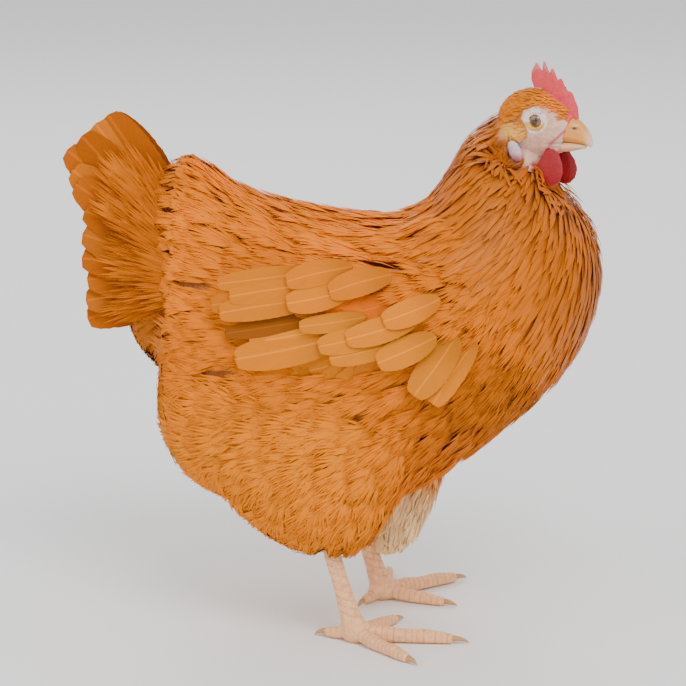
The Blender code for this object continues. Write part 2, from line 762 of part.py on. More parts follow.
def main():
    for made in list(bpy.data.objects):
        bpy.data.objects.remove(made)
    paints = {
        "buff": paint("buff plumage", BUFF, 0.7),
        "pale": paint("pale down", PALE_BUFF, 0.8),
        "red": paint("red wattle skin", RED, 0.5),
        "pink": paint("pink comb skin", PINK, 0.55),
        "face": paint("face skin", FACE, 0.6),
        "horn": paint("horn", HORN, 0.35),
        "shank": paint("scaled shank skin", SHANK, 0.5),
        "eye": paint("eye", EYE, 0.05),
    }
    trunk, neck = build_body(paints["buff"])
    build_tail(paints["buff"])
    make_room(neck, *build_head(paints))
    combine(neck, "DIFFERENCE", build_hollows())
    for side in SIDES:
        wing = build_wing(side, paints["buff"])
        thigh = build_thigh(side, paints["pale"])
        shank = build_shank(side, paints["shank"])
        foot = build_foot(side, paints["shank"])
        build_claws(side, paints["horn"])
        make_room(trunk, wing, thigh)
        make_room(neck, wing)
        make_room(thigh, shank, wing)
        make_room(foot, shank)
    stand_on_middle(list(bpy.context.scene.objects))


main()
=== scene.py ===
"""The looks of a life-size buff hen: its one skin, plumage, face, bill, eyes and legs.

The hen stands in the frame's own axes: +X ahead, +Y to its left, +Z up, in metres. Most
sizes are written in the frame that the hen was laid out in, whose origin a small shift
parts from the frame's. Feathers are closed vanes and tufts, scattered over the skin.
"""

import json
import logging
import math
from dataclasses import dataclass, field
from enum import Enum
from typing import Callable

import bmesh
import bpy
import numpy as np
from mathutils import Matrix, Vector

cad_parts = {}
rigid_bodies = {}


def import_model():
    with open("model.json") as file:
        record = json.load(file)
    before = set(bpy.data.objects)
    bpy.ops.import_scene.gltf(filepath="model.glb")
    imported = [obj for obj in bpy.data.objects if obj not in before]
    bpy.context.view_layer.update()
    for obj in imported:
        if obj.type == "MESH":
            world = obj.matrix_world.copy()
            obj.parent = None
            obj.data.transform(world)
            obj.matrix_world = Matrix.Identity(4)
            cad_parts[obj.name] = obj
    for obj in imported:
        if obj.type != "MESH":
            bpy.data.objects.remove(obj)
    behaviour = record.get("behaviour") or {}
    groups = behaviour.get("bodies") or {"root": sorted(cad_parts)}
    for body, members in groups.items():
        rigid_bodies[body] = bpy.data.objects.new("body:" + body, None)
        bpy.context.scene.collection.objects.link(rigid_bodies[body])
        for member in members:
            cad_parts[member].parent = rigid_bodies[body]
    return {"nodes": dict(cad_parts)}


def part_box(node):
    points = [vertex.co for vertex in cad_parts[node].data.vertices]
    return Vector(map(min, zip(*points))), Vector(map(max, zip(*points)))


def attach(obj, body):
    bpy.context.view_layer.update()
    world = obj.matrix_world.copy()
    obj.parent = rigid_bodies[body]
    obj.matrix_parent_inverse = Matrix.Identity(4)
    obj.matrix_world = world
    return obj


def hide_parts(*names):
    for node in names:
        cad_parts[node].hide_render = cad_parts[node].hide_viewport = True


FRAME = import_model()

log = logging.getLogger("hen")

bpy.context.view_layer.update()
SIDES = {"right": -1.0, "left": 1.0}
HEAD_LAID_OUT_AT = np.array((0.138, 0.0, 0.361))  # midway between the eyes, as laid out
SEED = 11

Array = np.ndarray


# ---------------------------------------------------------------- measures


def box_middle(node: str) -> Array:
    """The middle of a CAD node's box."""
    low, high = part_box(node)
    return (np.array(low) + np.array(high)) / 2


def eyes_middle() -> Array:
    """The point midway between the eyes."""
    return (box_middle("eye_left") + box_middle("eye_right")) / 2


SHIFT = eyes_middle() - HEAD_LAID_OUT_AT


def head_frame() -> Matrix:
    """The head's own frame: x out along the bill, y to its left, z up, from between the eyes."""
    left = box_middle("eye_left") - box_middle("eye_right")
    left /= np.linalg.norm(left)
    ahead = np.cross(left, (0.0, 0.0, 1.0))
    ahead /= np.linalg.norm(ahead)
    turn = Matrix((ahead, left, (0.0, 0.0, 1.0))).transposed()
    return Matrix.Translation(Vector(eyes_middle())) @ turn.to_4x4()


HEAD = head_frame()


def to_frame(points: Array, frame: Matrix) -> Array:
    """Points in the world's frame, told in another frame.

    Args:
        points: One point a row.
        frame: The other frame's place and turn in the world.

    Returns:
        The points in that frame.
    """
    inverse = np.array(frame.inverted())
    return points @ inverse[:3, :3].T + inverse[:3, 3]


def step(low: float, high: float, value: Array) -> Array:
    """A smooth step from 0 at low to 1 at high; low may be above high."""
    share = np.clip((value - low) / (high - low), 0.0, 1.0)
    return share * share * (3 - 2 * share)


def bump_near(points: Array, place: tuple, reach: tuple) -> Array:
    """A soft hill that is 1 at a place and falls to nothing over a reach along each axis."""
    away = (points - np.array(place)) / np.array(reach)
    return np.exp(-(away**2).sum(axis=-1))


def unit(vectors: Array) -> Array:
    """Rows scaled to length 1."""
    return vectors / np.maximum(np.linalg.norm(vectors, axis=-1, keepdims=True), 1e-9)


def linear(code: str) -> Array:
    """A colour such as c8843c, as linear red, green and blue."""
    parts = np.array([int(code[i : i + 2], 16) for i in (0, 2, 4)]) / 255
    return np.where(parts < 0.04045, parts / 12.92, ((parts + 0.055) / 1.055) ** 2.4)


def blend_colours(first: Array, second: Array, share: Array) -> Array:
    """Colours a share of the way from the first to the second, one row for each share."""
    return first + (second - first) * share[:, None]


# ---------------------------------------------------------------- the body's own course


@dataclass(frozen=True)
class Course:
    """The body's course from the tail's root to the nape, as chords from back to front.

    A point's place along it says which tract it lies in, and the chords' upright gives the
    way that the feathers lie there.
    """

    chords: tuple = (
        ((-0.112, 0.334), (-0.121, 0.167)),
        ((-0.097, 0.327), (-0.128, 0.141)),
        ((-0.076, 0.313), (-0.116, 0.111)),
        ((-0.048, 0.303), (-0.086, 0.091)),
        ((-0.012, 0.297), (-0.030, 0.080)),
        ((0.024, 0.293), (0.035, 0.090)),
        ((0.048, 0.297), (0.086, 0.118)),
        ((0.060, 0.306), (0.124, 0.150)),
        ((0.068, 0.319), (0.156, 0.184)),
        ((0.075, 0.332), (0.176, 0.222)),
        ((0.083, 0.346), (0.181, 0.258)),
        ((0.093, 0.356), (0.175, 0.286)),
        ((0.103, 0.366), (0.1645, 0.309)),
    )

    def read(self, points: Array) -> tuple[Array, Array]:
        """How far along the course points are, and the way towards the tail there.

        Args:
            points: Points in the layout frame, one a row.

        Returns:
            The place along the course in chords, from 0 at the tail's root, and the unit
            vectors towards the tail.
        """
        backs = np.array([chord[0] for chord in self.chords])
        fronts = np.array([chord[1] for chord in self.chords])
        down = unit(fronts - backs)
        ahead = np.stack((-down[:, 1], down[:, 0]), axis=1)
        flat = points[:, [0, 2]]
        past = ((flat[:, None, :] - backs[None]) * ahead[None]).sum(axis=-1)
        gap = np.maximum(past[:, :-1] - past[:, 1:], 1e-5)
        along = np.clip(past[:, :-1] / gap, 0.0, 1.0).sum(axis=1)
        low = np.minimum(along.astype(int), len(self.chords) - 2)
        share = (along - low)[:, None]
        way = ahead[low] * (1 - share) + ahead[low + 1] * share
        tailwards = np.zeros_like(points)
        tailwards[:, 0] = -way[:, 0]
        tailwards[:, 2] = -way[:, 1]
        return along, unit(tailwards)


COURSE = Course()
TAIL_FAN = np.array((-0.080, 0.0, 0.245))  # where the tail feathers' lines meet


def coat_depth(laid: Array) -> Array:
    """How deep the plumage is over the skin, at points in the layout frame."""
    along, _ = COURSE.read(laid)
    z = laid[:, 2]
    deep = np.full(len(laid), 0.0065)
    deep = deep - 0.0020 * step(8.0, 11.0, along)
    deep = deep + 0.0025 * step(0.17, 0.12, z)
    wing = bump_near(np.abs(laid), (0.026, 0.098, 0.231), (0.09, 0.03, 0.05))
    return deep - 0.0025 * wing


# ---------------------------------------------------------------- mesh helpers


def new_object(name: str, mesh: bpy.types.Mesh) -> bpy.types.Object:
    """An object in the scene that shows a mesh."""
    made = bpy.data.objects.new(name, mesh)
    bpy.context.scene.collection.objects.link(made)
    return made


def drop(*objects: bpy.types.Object) -> None:
    """Takes helper objects out of the file."""
    for made in objects:
        bpy.data.objects.remove(made)


def baked(source: bpy.types.Object, name: str) -> bpy.types.Mesh:
    """The mesh that an object's modifiers give, as a plain mesh."""
    graph = bpy.context.evaluated_depsgraph_get()
    graph.update()
    mesh = bpy.data.meshes.new_from_object(source.evaluated_get(graph))
    mesh.name = name
    return mesh


def settled(source: bpy.types.Object) -> bpy.types.Object:
    """Applies an object's modifiers to its mesh."""
    mesh = baked(source, source.name)
    source.modifiers.clear()
    source.data = mesh
    return source


def points_of(mesh: bpy.types.Mesh) -> Array:
    """A mesh's points, one a row."""
    points = np.empty(len(mesh.vertices) * 3, np.float32)
    mesh.vertices.foreach_get("co", points)
    return points.reshape(-1, 3).astype(float)


def normals_of(mesh: bpy.types.Mesh) -> Array:
    """The way out of a mesh at each of its points."""
    normals = np.empty(len(mesh.vertices) * 3, np.float32)
    mesh.vertex_normals.foreach_get("vector", normals)
    return normals.reshape(-1, 3).astype(float)


def move_points(mesh: bpy.types.Mesh, points: Array) -> None:
    """Puts a mesh's points in new places."""
    mesh.vertices.foreach_set("co", points.astype(np.float32).ravel())
    mesh.update()


def node_copy(node: str) -> bpy.types.Object:
    """A copy of a CAD node's mesh, with its loose triangles merged."""
    source = FRAME["nodes"][node]
    mesh = source.data.copy()
    mesh.materials.clear()
    bm = bmesh.new()
    bm.from_mesh(mesh)
    bmesh.ops.remove_doubles(bm, verts=bm.verts, dist=1e-6)
    bm.to_mesh(mesh)
    bm.free()
    return new_object(f"{node}_copy", mesh)


def ellipsoid(place: tuple, radii: tuple, frame: Matrix | None = None) -> bpy.types.Object:
    """A closed ellipsoid.

    Args:
        place: Its middle.
        radii: Its radii along x, y and z.
        frame: The frame that place and radii are told in, or the world's.

    Returns:
        The object.
    """
    mesh = bpy.data.meshes.new("ellipsoid")
    bm = bmesh.new()
    bmesh.ops.create_icosphere(bm, subdivisions=4, radius=1.0)
    shape = Matrix.Translation(place) @ Matrix.Diagonal((*radii, 1.0))
    bm.transform(frame @ shape if frame is not None else shape)
    bm.to_mesh(mesh)
    bm.free()
    return new_object("ellipsoid", mesh)


def joined(name: str, objects: list[bpy.types.Object]) -> bpy.types.Object:
    """One object with the meshes of several, which are taken out of the file."""
    bm = bmesh.new()
    for made in objects:
        bm.from_mesh(made.data)
    mesh = bpy.data.meshes.new(name)
    bm.to_mesh(mesh)
    bm.free()
    drop(*objects)
    return new_object(name, mesh)


def fused(name: str, objects: list[bpy.types.Object], voxel: float) -> bpy.types.Object:
    """Closed meshes fused into one evenly meshed one.

    Args:
        name: The new object's name.
        objects: The closed meshes, which are taken out of the file.
        voxel: The size of the new mesh's faces.

    Returns:
        The fused object.
    """
    whole = joined(name, objects)
    modifier = whole.modifiers.new("fuse", "REMESH")
    modifier.mode = "VOXEL"
    modifier.voxel_size = voxel
    return settled(whole)


def smoothed(made: bpy.types.Object, factor: float, rounds: int) -> bpy.types.Object:
    """Evens out an object's surface."""
    modifier = made.modifiers.new("smooth", "SMOOTH")
    modifier.factor = factor
    modifier.iterations = rounds
    return settled(made)


def crisp(bm: bmesh.types.BMesh) -> None:
    """Marks a thin blade's rims as sharp, so that each side is shaded as flat as it is."""
    bm.normal_update()
    for edge in bm.edges:
        if len(edge.link_faces) == 2 and edge.calc_face_angle(0.0) > math.radians(60):
            edge.smooth = False


def store(mesh: bpy.types.Mesh, name: str, kind: str, values: Array) -> None:
    """Stores values on a mesh's points.

    Args:
        mesh: The mesh.
        name: The attribute's name.
        kind: FLOAT, FLOAT_VECTOR or FLOAT_COLOR.
        values: One value or row for each point; a colour is red, green and blue.
    """
    attribute = mesh.attributes.new(name, kind, "POINT")
    if kind == "FLOAT_COLOR":
        values = np.column_stack((values, np.ones(len(values))))
    key = {"FLOAT": "value", "FLOAT_VECTOR": "vector", "FLOAT_COLOR": "color"}[kind]
    attribute.data.foreach_set(key, np.asarray(values, np.float32).ravel())


def unwrapped(made: bpy.types.Object, name: str) -> None:
    """Unwraps an object's mesh over its own shape, into a named map."""
    made.data.uv_layers.new(name=name)
    bpy.context.view_layer.objects.active = made
    bpy.ops.object.select_all(action="DESELECT")
    made.select_set(True)
    bpy.ops.object.mode_set(mode="EDIT")
    bpy.ops.mesh.select_all(action="SELECT")
    bpy.ops.uv.smart_project(angle_limit=math.radians(66), island_margin=0.002)
    bpy.ops.object.mode_set(mode="OBJECT")


# ---------------------------------------------------------------- finishes


class Shader:
    """A material under construction, with short ways to add nodes to it."""

    def __init__(self, name: str) -> None:
        """Starts a material that has only its Principled shader."""
        self.material = bpy.data.materials.new(name)
        self.material.use_nodes = True
        self.tree = self.material.node_tree
        self.surface = self.tree.nodes["Principled BSDF"]

    def add(self, kind: str, **settings: object) -> bpy.types.Node:
        """Adds a node and sets its properties."""
        node = self.tree.nodes.new(kind)
        for key, value in settings.items():
            setattr(node, key, value)
        return node

    def link(self, source: bpy.types.NodeSocket, target: bpy.types.NodeSocket) -> None:
        """Joins two sockets."""
        self.tree.links.new(source, target)

    def attribute(self, name: str) -> bpy.types.Node:
        """A node that reads one of the mesh's attributes."""
        return self.add("ShaderNodeAttribute", attribute_name=name)

    def math(self, operation: str, first: object, second: object = 0.0) -> bpy.types.NodeSocket:
        """The result of a sum on sockets or plain numbers."""
        node = self.add("ShaderNodeMath", operation=operation)
        for slot, value in zip(node.inputs, (first, second)):
            if isinstance(value, bpy.types.NodeSocket):
                self.link(value, slot)
            else:
                slot.default_value = value
        return node.outputs[0]

    def noise(
        self, scale: float, detail: float = 3.0, vector: object = None
    ) -> bpy.types.NodeSocket:
        """Noise over object coordinates, or over another vector.

        Args:
            scale: How many waves there are to a unit of the vector.
            detail: How many finer layers are added.
            vector: The socket to read the noise at, or nothing for object coordinates.

        Returns:
            The socket that gives the noise, from 0 to 1.
        """
        node = self.add("ShaderNodeTexNoise")
        node.inputs["Scale"].default_value = scale
        node.inputs["Detail"].default_value = detail
        if vector is None:
            vector = self.add("ShaderNodeTexCoord").outputs["Object"]
        self.link(vector, node.inputs["Vector"])
        return node.outputs["Fac"]

    def shade(
        self, colour: bpy.types.NodeSocket, share: object, dark: float, light: float
    ) -> bpy.types.NodeSocket:
        """A colour made darker or lighter by a 0 to 1 share between two factors.

        Args:
            colour: The socket that gives the colour.
            share: The socket that gives the share.
            dark: The factor where the share is 0.
            light: The factor where the share is 1.

        Returns:
            The socket that gives the shaded colour.
        """
        ramp = self.add("ShaderNodeMapRange")
        self.link(share, ramp.inputs["Value"])
        ramp.inputs["To Min"].default_value = dark
        ramp.inputs["To Max"].default_value = light
        scale = self.add("ShaderNodeVectorMath", operation="SCALE")
        self.link(colour, scale.inputs[0])
        self.link(ramp.outputs[0], scale.inputs["Scale"])
        return scale.outputs[0]

    def bump(self, height: bpy.types.NodeSocket, strength: float, distance: float) -> None:
        """Gives the surface a bump from a height."""
        node = self.add("ShaderNodeBump")
        node.inputs["Strength"].default_value = strength
        node.inputs["Distance"].default_value = distance
        self.link(height, node.inputs["Height"])
        self.link(node.outputs[0], self.surface.inputs["Normal"])

    def set(self, **values: float) -> None:
        """Sets plain numbers on the shader, such as roughness=0.5 or coat_weight=0.2."""
        for key, value in values.items():
            socket = key.replace("_", " ").title().replace("Ior", "IOR")
            self.surface.inputs[socket].default_value = value


class Grain(Enum):
    """Which way a feather's fine streaks run."""

    BARBS = "slanting out from the shaft"
    LENGTH = "along the feather"


@dataclass(frozen=True)
class FeatherFinish:
    """A vane's finish: its own tint, streaks along the barbs, a pale shaft and a darker root."""

    name: str
    grain: Grain = Grain.BARBS
    roughness: float = 0.55
    streak: float = 0.22
    shaft: float = 0.20
    gloss: float = 0.12
    root: float = 0.72
    fineness: float = 1.0

    def make(self) -> bpy.types.Material:
        """Builds the material."""
        shader = Shader(self.name)
        tint = shader.attribute("tint").outputs["Color"]
        vane = shader.add("ShaderNodeUVMap", uv_map="vane").outputs["UV"]
        apart = shader.add("ShaderNodeSeparateXYZ")
        shader.link(vane, apart.inputs[0])
        off = shader.math("ABSOLUTE", shader.math("SUBTRACT", apart.outputs[0], 0.5))
        own = shader.attribute("shade").outputs["Fac"]
        place = shader.add("ShaderNodeCombineXYZ")
        if self.grain is Grain.BARBS:
            # Barbs slant out and forwards from the shaft, so their lines are v less some |u|.
            slant = shader.math("SUBTRACT", apart.outputs[1], shader.math("MULTIPLY", off, 0.7))
            shader.link(shader.math("MULTIPLY", slant, 34.0 * self.fineness), place.inputs[0])
            shader.link(shader.math("MULTIPLY", apart.outputs[0], 2.0), place.inputs[1])
        else:
            across = shader.math("MULTIPLY", apart.outputs[0], 16.0 * self.fineness)
            shader.link(across, place.inputs[0])
            shader.link(shader.math("MULTIPLY", apart.outputs[1], 1.6), place.inputs[1])
        shader.link(shader.math("MULTIPLY", own, 40.0), place.inputs[2])
        streaks = shader.noise(1.0, 3.0, place.outputs[0])
        colour = shader.shade(tint, streaks, 1 - self.streak, 1 + self.streak)
        colour = shader.shade(colour, own, 0.88, 1.12)
        root = shader.add("ShaderNodeMapRange", interpolation_type="SMOOTHSTEP")
        shader.link(apart.outputs[1], root.inputs["Value"])
        root.inputs["From Max"].default_value = 0.6
        colour = shader.shade(colour, root.outputs[0], self.root, 1.0)
        middle = shader.math("LESS_THAN", off, 0.03)
        colour = shader.shade(colour, middle, 1.0, 1 + self.shaft)
        shader.link(colour, shader.surface.inputs["Base Color"])
        shader.bump(streaks, 0.30, 0.0003)
        shader.set(roughness=self.roughness)
        shader.surface.inputs["Specular IOR Level"].default_value = self.gloss
        shader.surface.inputs["Specular Tint"].default_value = (1.0, 0.75, 0.45, 1.0)
        return shader.material


@dataclass(frozen=True)
class SkinFinish:
    """Bare skin: the tint of each place, mottled, over a fine pebbled grain."""

    name: str
    grain: float = 1400.0
    relief: float = 0.0005
    roughness: float = 0.5

    def make(self) -> bpy.types.Material:
        """Builds the material."""
        shader = Shader(self.name)
        tint = shader.attribute("tint").outputs["Color"]
        patches = shader.noise(260.0, 4.0)
        colour = shader.shade(tint, patches, 0.72, 1.28)
        pebbles = shader.add("ShaderNodeTexVoronoi", feature="F1")
        pebbles.inputs["Scale"].default_value = self.grain
        shader.link(shader.add("ShaderNodeTexCoord").outputs["Object"], pebbles.inputs["Vector"])
        colour = shader.shade(colour, pebbles.outputs["Distance"], 1.10, 0.78)
        shader.link(colour, shader.surface.inputs["Base Color"])
        height = shader.math("SUBTRACT", 1.0, pebbles.outputs["Distance"])
        shader.bump(height, 0.55, self.relief)
        shader.set(roughness=self.roughness, subsurface_weight=0.12, subsurface_scale=0.002)
        shader.surface.inputs["Subsurface Radius"].default_value = (1.0, 0.35, 0.2)
        return shader.material


@dataclass(frozen=True)
class HornFinish:
    """Bill and claws: horn with fine lines, smooth and a little glossy."""

    name: str
    roughness: float = 0.34

    def make(self) -> bpy.types.Material:
        """Builds the material."""
        shader = Shader(self.name)
        tint = shader.attribute("tint").outputs["Color"]
        lines = shader.noise(420.0, 5.0)
        shader.link(shader.shade(tint, lines, 0.86, 1.14), shader.surface.inputs["Base Color"])
        shader.bump(lines, 0.25, 0.0003)
        shader.set(roughness=self.roughness, subsurface_weight=0.1, subsurface_scale=0.002)
        return shader.material


@dataclass(frozen=True)
class EyeFinish:
    """A wet, dark eye with a warm iris."""

    name: str

    def make(self) -> bpy.types.Material:
        """Builds the material."""
        shader = Shader(self.name)
        shader.link(shader.attribute("tint").outputs["Color"], shader.surface.inputs["Base Color"])
        shader.set(roughness=0.12, coat_weight=1.0, coat_roughness=0.02)
        return shader.material


@dataclass(frozen=True)
class FloorFinish:
    """A plain pale floor."""

    name: str

    def make(self) -> bpy.types.Material:
        """Builds the material."""
        shader = Shader(self.name)
        shader.surface.inputs["Base Color"].default_value = (0.86, 0.86, 0.86, 1.0)
        shader.set(roughness=0.9, specular_ior_level=0.1)
        return shader.material


# ---------------------------------------------------------------- markings


def soft_noise(points: Array, scale: float) -> Array:
    """A slow wave pattern, from -1 to 1, which keeps sizes from looking even."""
    x, y, z = (points * scale).T
    return (np.sin(x + 1.3 * np.sin(z)) + np.sin(z * 1.1 + 1.7 * np.sin(y + x))) / 2


class Markings:
    """The hen's colours, by place: the skin and the feathers over it share them."""

    buff = linear("d16c04")
    hackle = linear("b25a01")
    saddle = linear("e07502")
    shoulder = linear("d56101")
    breast = linear("a65707")
    wing = linear("cc7208")
    wing_low = linear("c46b15")
    tail = linear("b0600c")
    fluff = linear("d87807")
    # Painted shade for the underside: a dull brown that darkens the belly and the rear below the tail.
    underside_shade = linear("a07030")
    cream = linear("f0cc94")
    face = linear("e0b49a")
    face_red = linear("b8505a")
    comb = linear("dd3c46")
    # Painted highlight on the comb's points, a pale pink.
    comb_tip_highlight = linear("dd8f92")
    wattle = linear("9c0012")
    wattle_rim = linear("b83848")
    lobe = linear("d8bcc4")
    lobe_red = linear("c04050")
    leg = linear("fbbd86")
    leg_red = linear("e18663")

    crown = linear("c46a0c")
    brow = linear("e87c10")
    ear_tuft = linear("eab258")
    blush = linear("c98a7a")
    ear_ridge = linear("7a2c14")
    eye_ring = linear("e6d0c4")
    lower_lid = linear("dca858")

    @classmethod
    def plumage(cls, points: Array) -> Array:
        """The feathers' colour at points in the layout frame."""
        along, _ = COURSE.read(points)
        x, y, z = points.T
        colour = np.tile(cls.buff, (len(points), 1))
        colour = blend_colours(colour, cls.saddle, step(0.23, 0.30, z) * step(8.0, 5.5, along))
        colour = blend_colours(colour, cls.breast, step(5.5, 8.0, along) * step(0.26, 0.17, z))
        colour = blend_colours(colour, cls.hackle, step(7.6, 9.4, along))
        colour = blend_colours(colour, cls.tail, step(-0.112, -0.14, x) * step(0.15, 0.2, z))
        low = step(0.205, 0.150, z) * step(0.075, 0.03, x)
        colour = blend_colours(colour, cls.fluff, low)
        # Painted shade: the underside and the rear below the tail are blended towards a dull brown.
        under = 0.6 * step(0.105, 0.060, z) + step(-0.085, -0.125, x) * step(0.19, 0.15, z)
        colour = blend_colours(colour, cls.underside_shade, np.clip(under, 0, 1) * 0.8)
        rump = step(-0.085, -0.115, x) * step(0.17, 0.20, z)
        colour = blend_colours(colour, cls.tail, rump * 0.7)
        far = step(0.125, 0.095, z) * step(0.0, 0.025, y)
        drift = soft_noise(points, 55.0)[:, None]
        return blend_colours(colour, cls.cream, far * 0.9) * (1 + 0.10 * drift)

    @classmethod
    def wing_at(cls, points: Array) -> Array:
        """The wing feathers' colour at points in the layout frame."""
        x, _, z = points.T
        colour = np.tile(cls.wing, (len(points), 1))
        glow = bump_near(points * (1, 0, 1), (0.050, 0.0, 0.265), (0.05, 1.0, 0.030))
        colour = blend_colours(colour, cls.shoulder, np.clip(glow * 1.2, 0, 1))
        low = step(0.235, 0.205, z) * step(0.02, 0.07, x)
        return blend_colours(colour, cls.wing_low, low * 0.7)

    @classmethod
    def head_plumage(cls, local: Array) -> Array:
        """The small feathers' colour at points in the head's frame."""
        colour = np.tile(cls.crown, (len(local), 1))
        front = step(-0.004, 0.010, local[:, 0]) * step(0.0, 0.008, local[:, 2])
        colour = blend_colours(colour, cls.brow, front)
        side = mirrored(local)
        tuft = bump_near(side, (-0.0145, 0.014, -0.0085), (0.0105, 0.02, 0.0065))
        return blend_colours(colour, cls.ear_tuft, np.clip(tuft * 1.6 - 0.2, 0, 1))

    @classmethod
    def bare(cls, local: Array) -> Array:
        """The head's bare skin colour at points in the head's frame."""
        side = mirrored(local)
        x, y, z = side.T
        colour = np.tile(cls.face, (len(local), 1))
        warm = soft_noise(side, 900.0)
        colour = blend_colours(colour, cls.blush, 0.18 + 0.14 * warm)
        # The red fold runs up the bill's foot from the gape to the nostril.
        gape = np.abs((z + 0.0160) - (x - 0.0095) * 0.95)
        fold = np.exp(-((gape / 0.0013) ** 2)) * step(0.007, 0.009, x) * step(0.023, 0.020, x)
        colour = blend_colours(colour, cls.face_red, fold * 0.95)
        ear = np.exp(-(((z + 0.0012 + 0.10 * (x + 0.017)) / 0.0009) ** 2))
        ear = ear * step(-0.023, -0.021, x) * step(-0.009, -0.012, x)
        colour = blend_colours(colour, cls.ear_ridge, ear * 0.9)
        jaw = bump_near(side, (0.010, 0.010, -0.0215), (0.006, 0.008, 0.0045))
        colour = blend_colours(colour, cls.face_red, jaw * 0.8)
        ring = np.hypot(x, z)
        around = (ring < 0.0085) & (y > 0.009)
        colour[around] = cls.eye_ring
        lower = (ring < 0.0071) & (y > 0.009) & (z < -0.0012)
        colour[lower] = cls.lower_lid
        return colour


FACE_OUTLINE = (
    (-0.0100, 0.0010),
    (-0.0085, 0.0065),
    (-0.0040, 0.0095),
    (0.0020, 0.0103),
    (0.0080, 0.0088),
    (0.0130, 0.0065),
    (0.0180, 0.0025),
    (0.0230, -0.0020),
    (0.0400, -0.0020),
    (0.0400, -0.0260),
    (0.0160, -0.0255),
    (0.0020, -0.0270),
    (-0.0080, -0.0290),
    (-0.0130, -0.0330),
    (-0.0205, -0.0220),
    (-0.0200, -0.0160),
    (-0.0120, -0.0145),
    (-0.0055, -0.0120),
    (-0.0050, -0.0060),
    (-0.0070, -0.0020),
)


def mirrored(local: Array) -> Array:
    """Points in the head's frame with both sides laid on its left."""
    return local * (1, 0, 1) + np.abs(local) * (0, 1, 0)


def within(outline: tuple, x: Array, z: Array) -> Array:
    """Which points of the head's side view lie within an outline."""
    inside = np.zeros(len(x), bool)
    corners = np.array(outline)
    for (x0, z0), (x1, z1) in zip(corners, np.roll(corners, -1, axis=0)):
        crosses = (z0 > z) != (z1 > z)
        if z0 != z1:
            inside ^= crosses & (x < (x1 - x0) * (z - z0) / (z1 - z0) + x0)
    return inside


# ---------------------------------------------------------------- skin


FEET = {"right": (0.0150, -0.055), "left": (0.021, 0.045)}
SCUTE = 0.0041  # the length of one plate on a toe
SHANK_SCALE = 0.0050


def scute_grooves(laid: Array) -> Array:
    """How deep in a groove between scales each point of the legs lies, from 0 to 1."""
    x, y, z = laid.T
    foot = np.where(y[:, None] > -0.005, np.array(FEET["left"]), np.array(FEET["right"]))
    away = laid[:, :2] - foot
    reach = np.hypot(away[:, 0], away[:, 1])
    turn = np.arctan2(away[:, 1], away[:, 0])
    toe = np.abs(((reach / SCUTE) % 1.0) - 0.5) * 2
    up = z + 0.30 * away[:, 0]
    row = np.floor(up / SHANK_SCALE)
    band = np.abs(((up / SHANK_SCALE) % 1.0) - 0.5) * 2
    seam = np.abs(((turn * 0.95 + 0.5 * (row % 2)) % 1.0) - 0.5) * 2
    plates = np.maximum(step(0.72, 1.0, band), 0.8 * step(0.80, 1.0, seam))
    on_toe = step(0.019, 0.014, z)
    return step(0.70, 1.0, toe) * on_toe * step(0.006, 0.012, reach) + plates * (1 - on_toe)


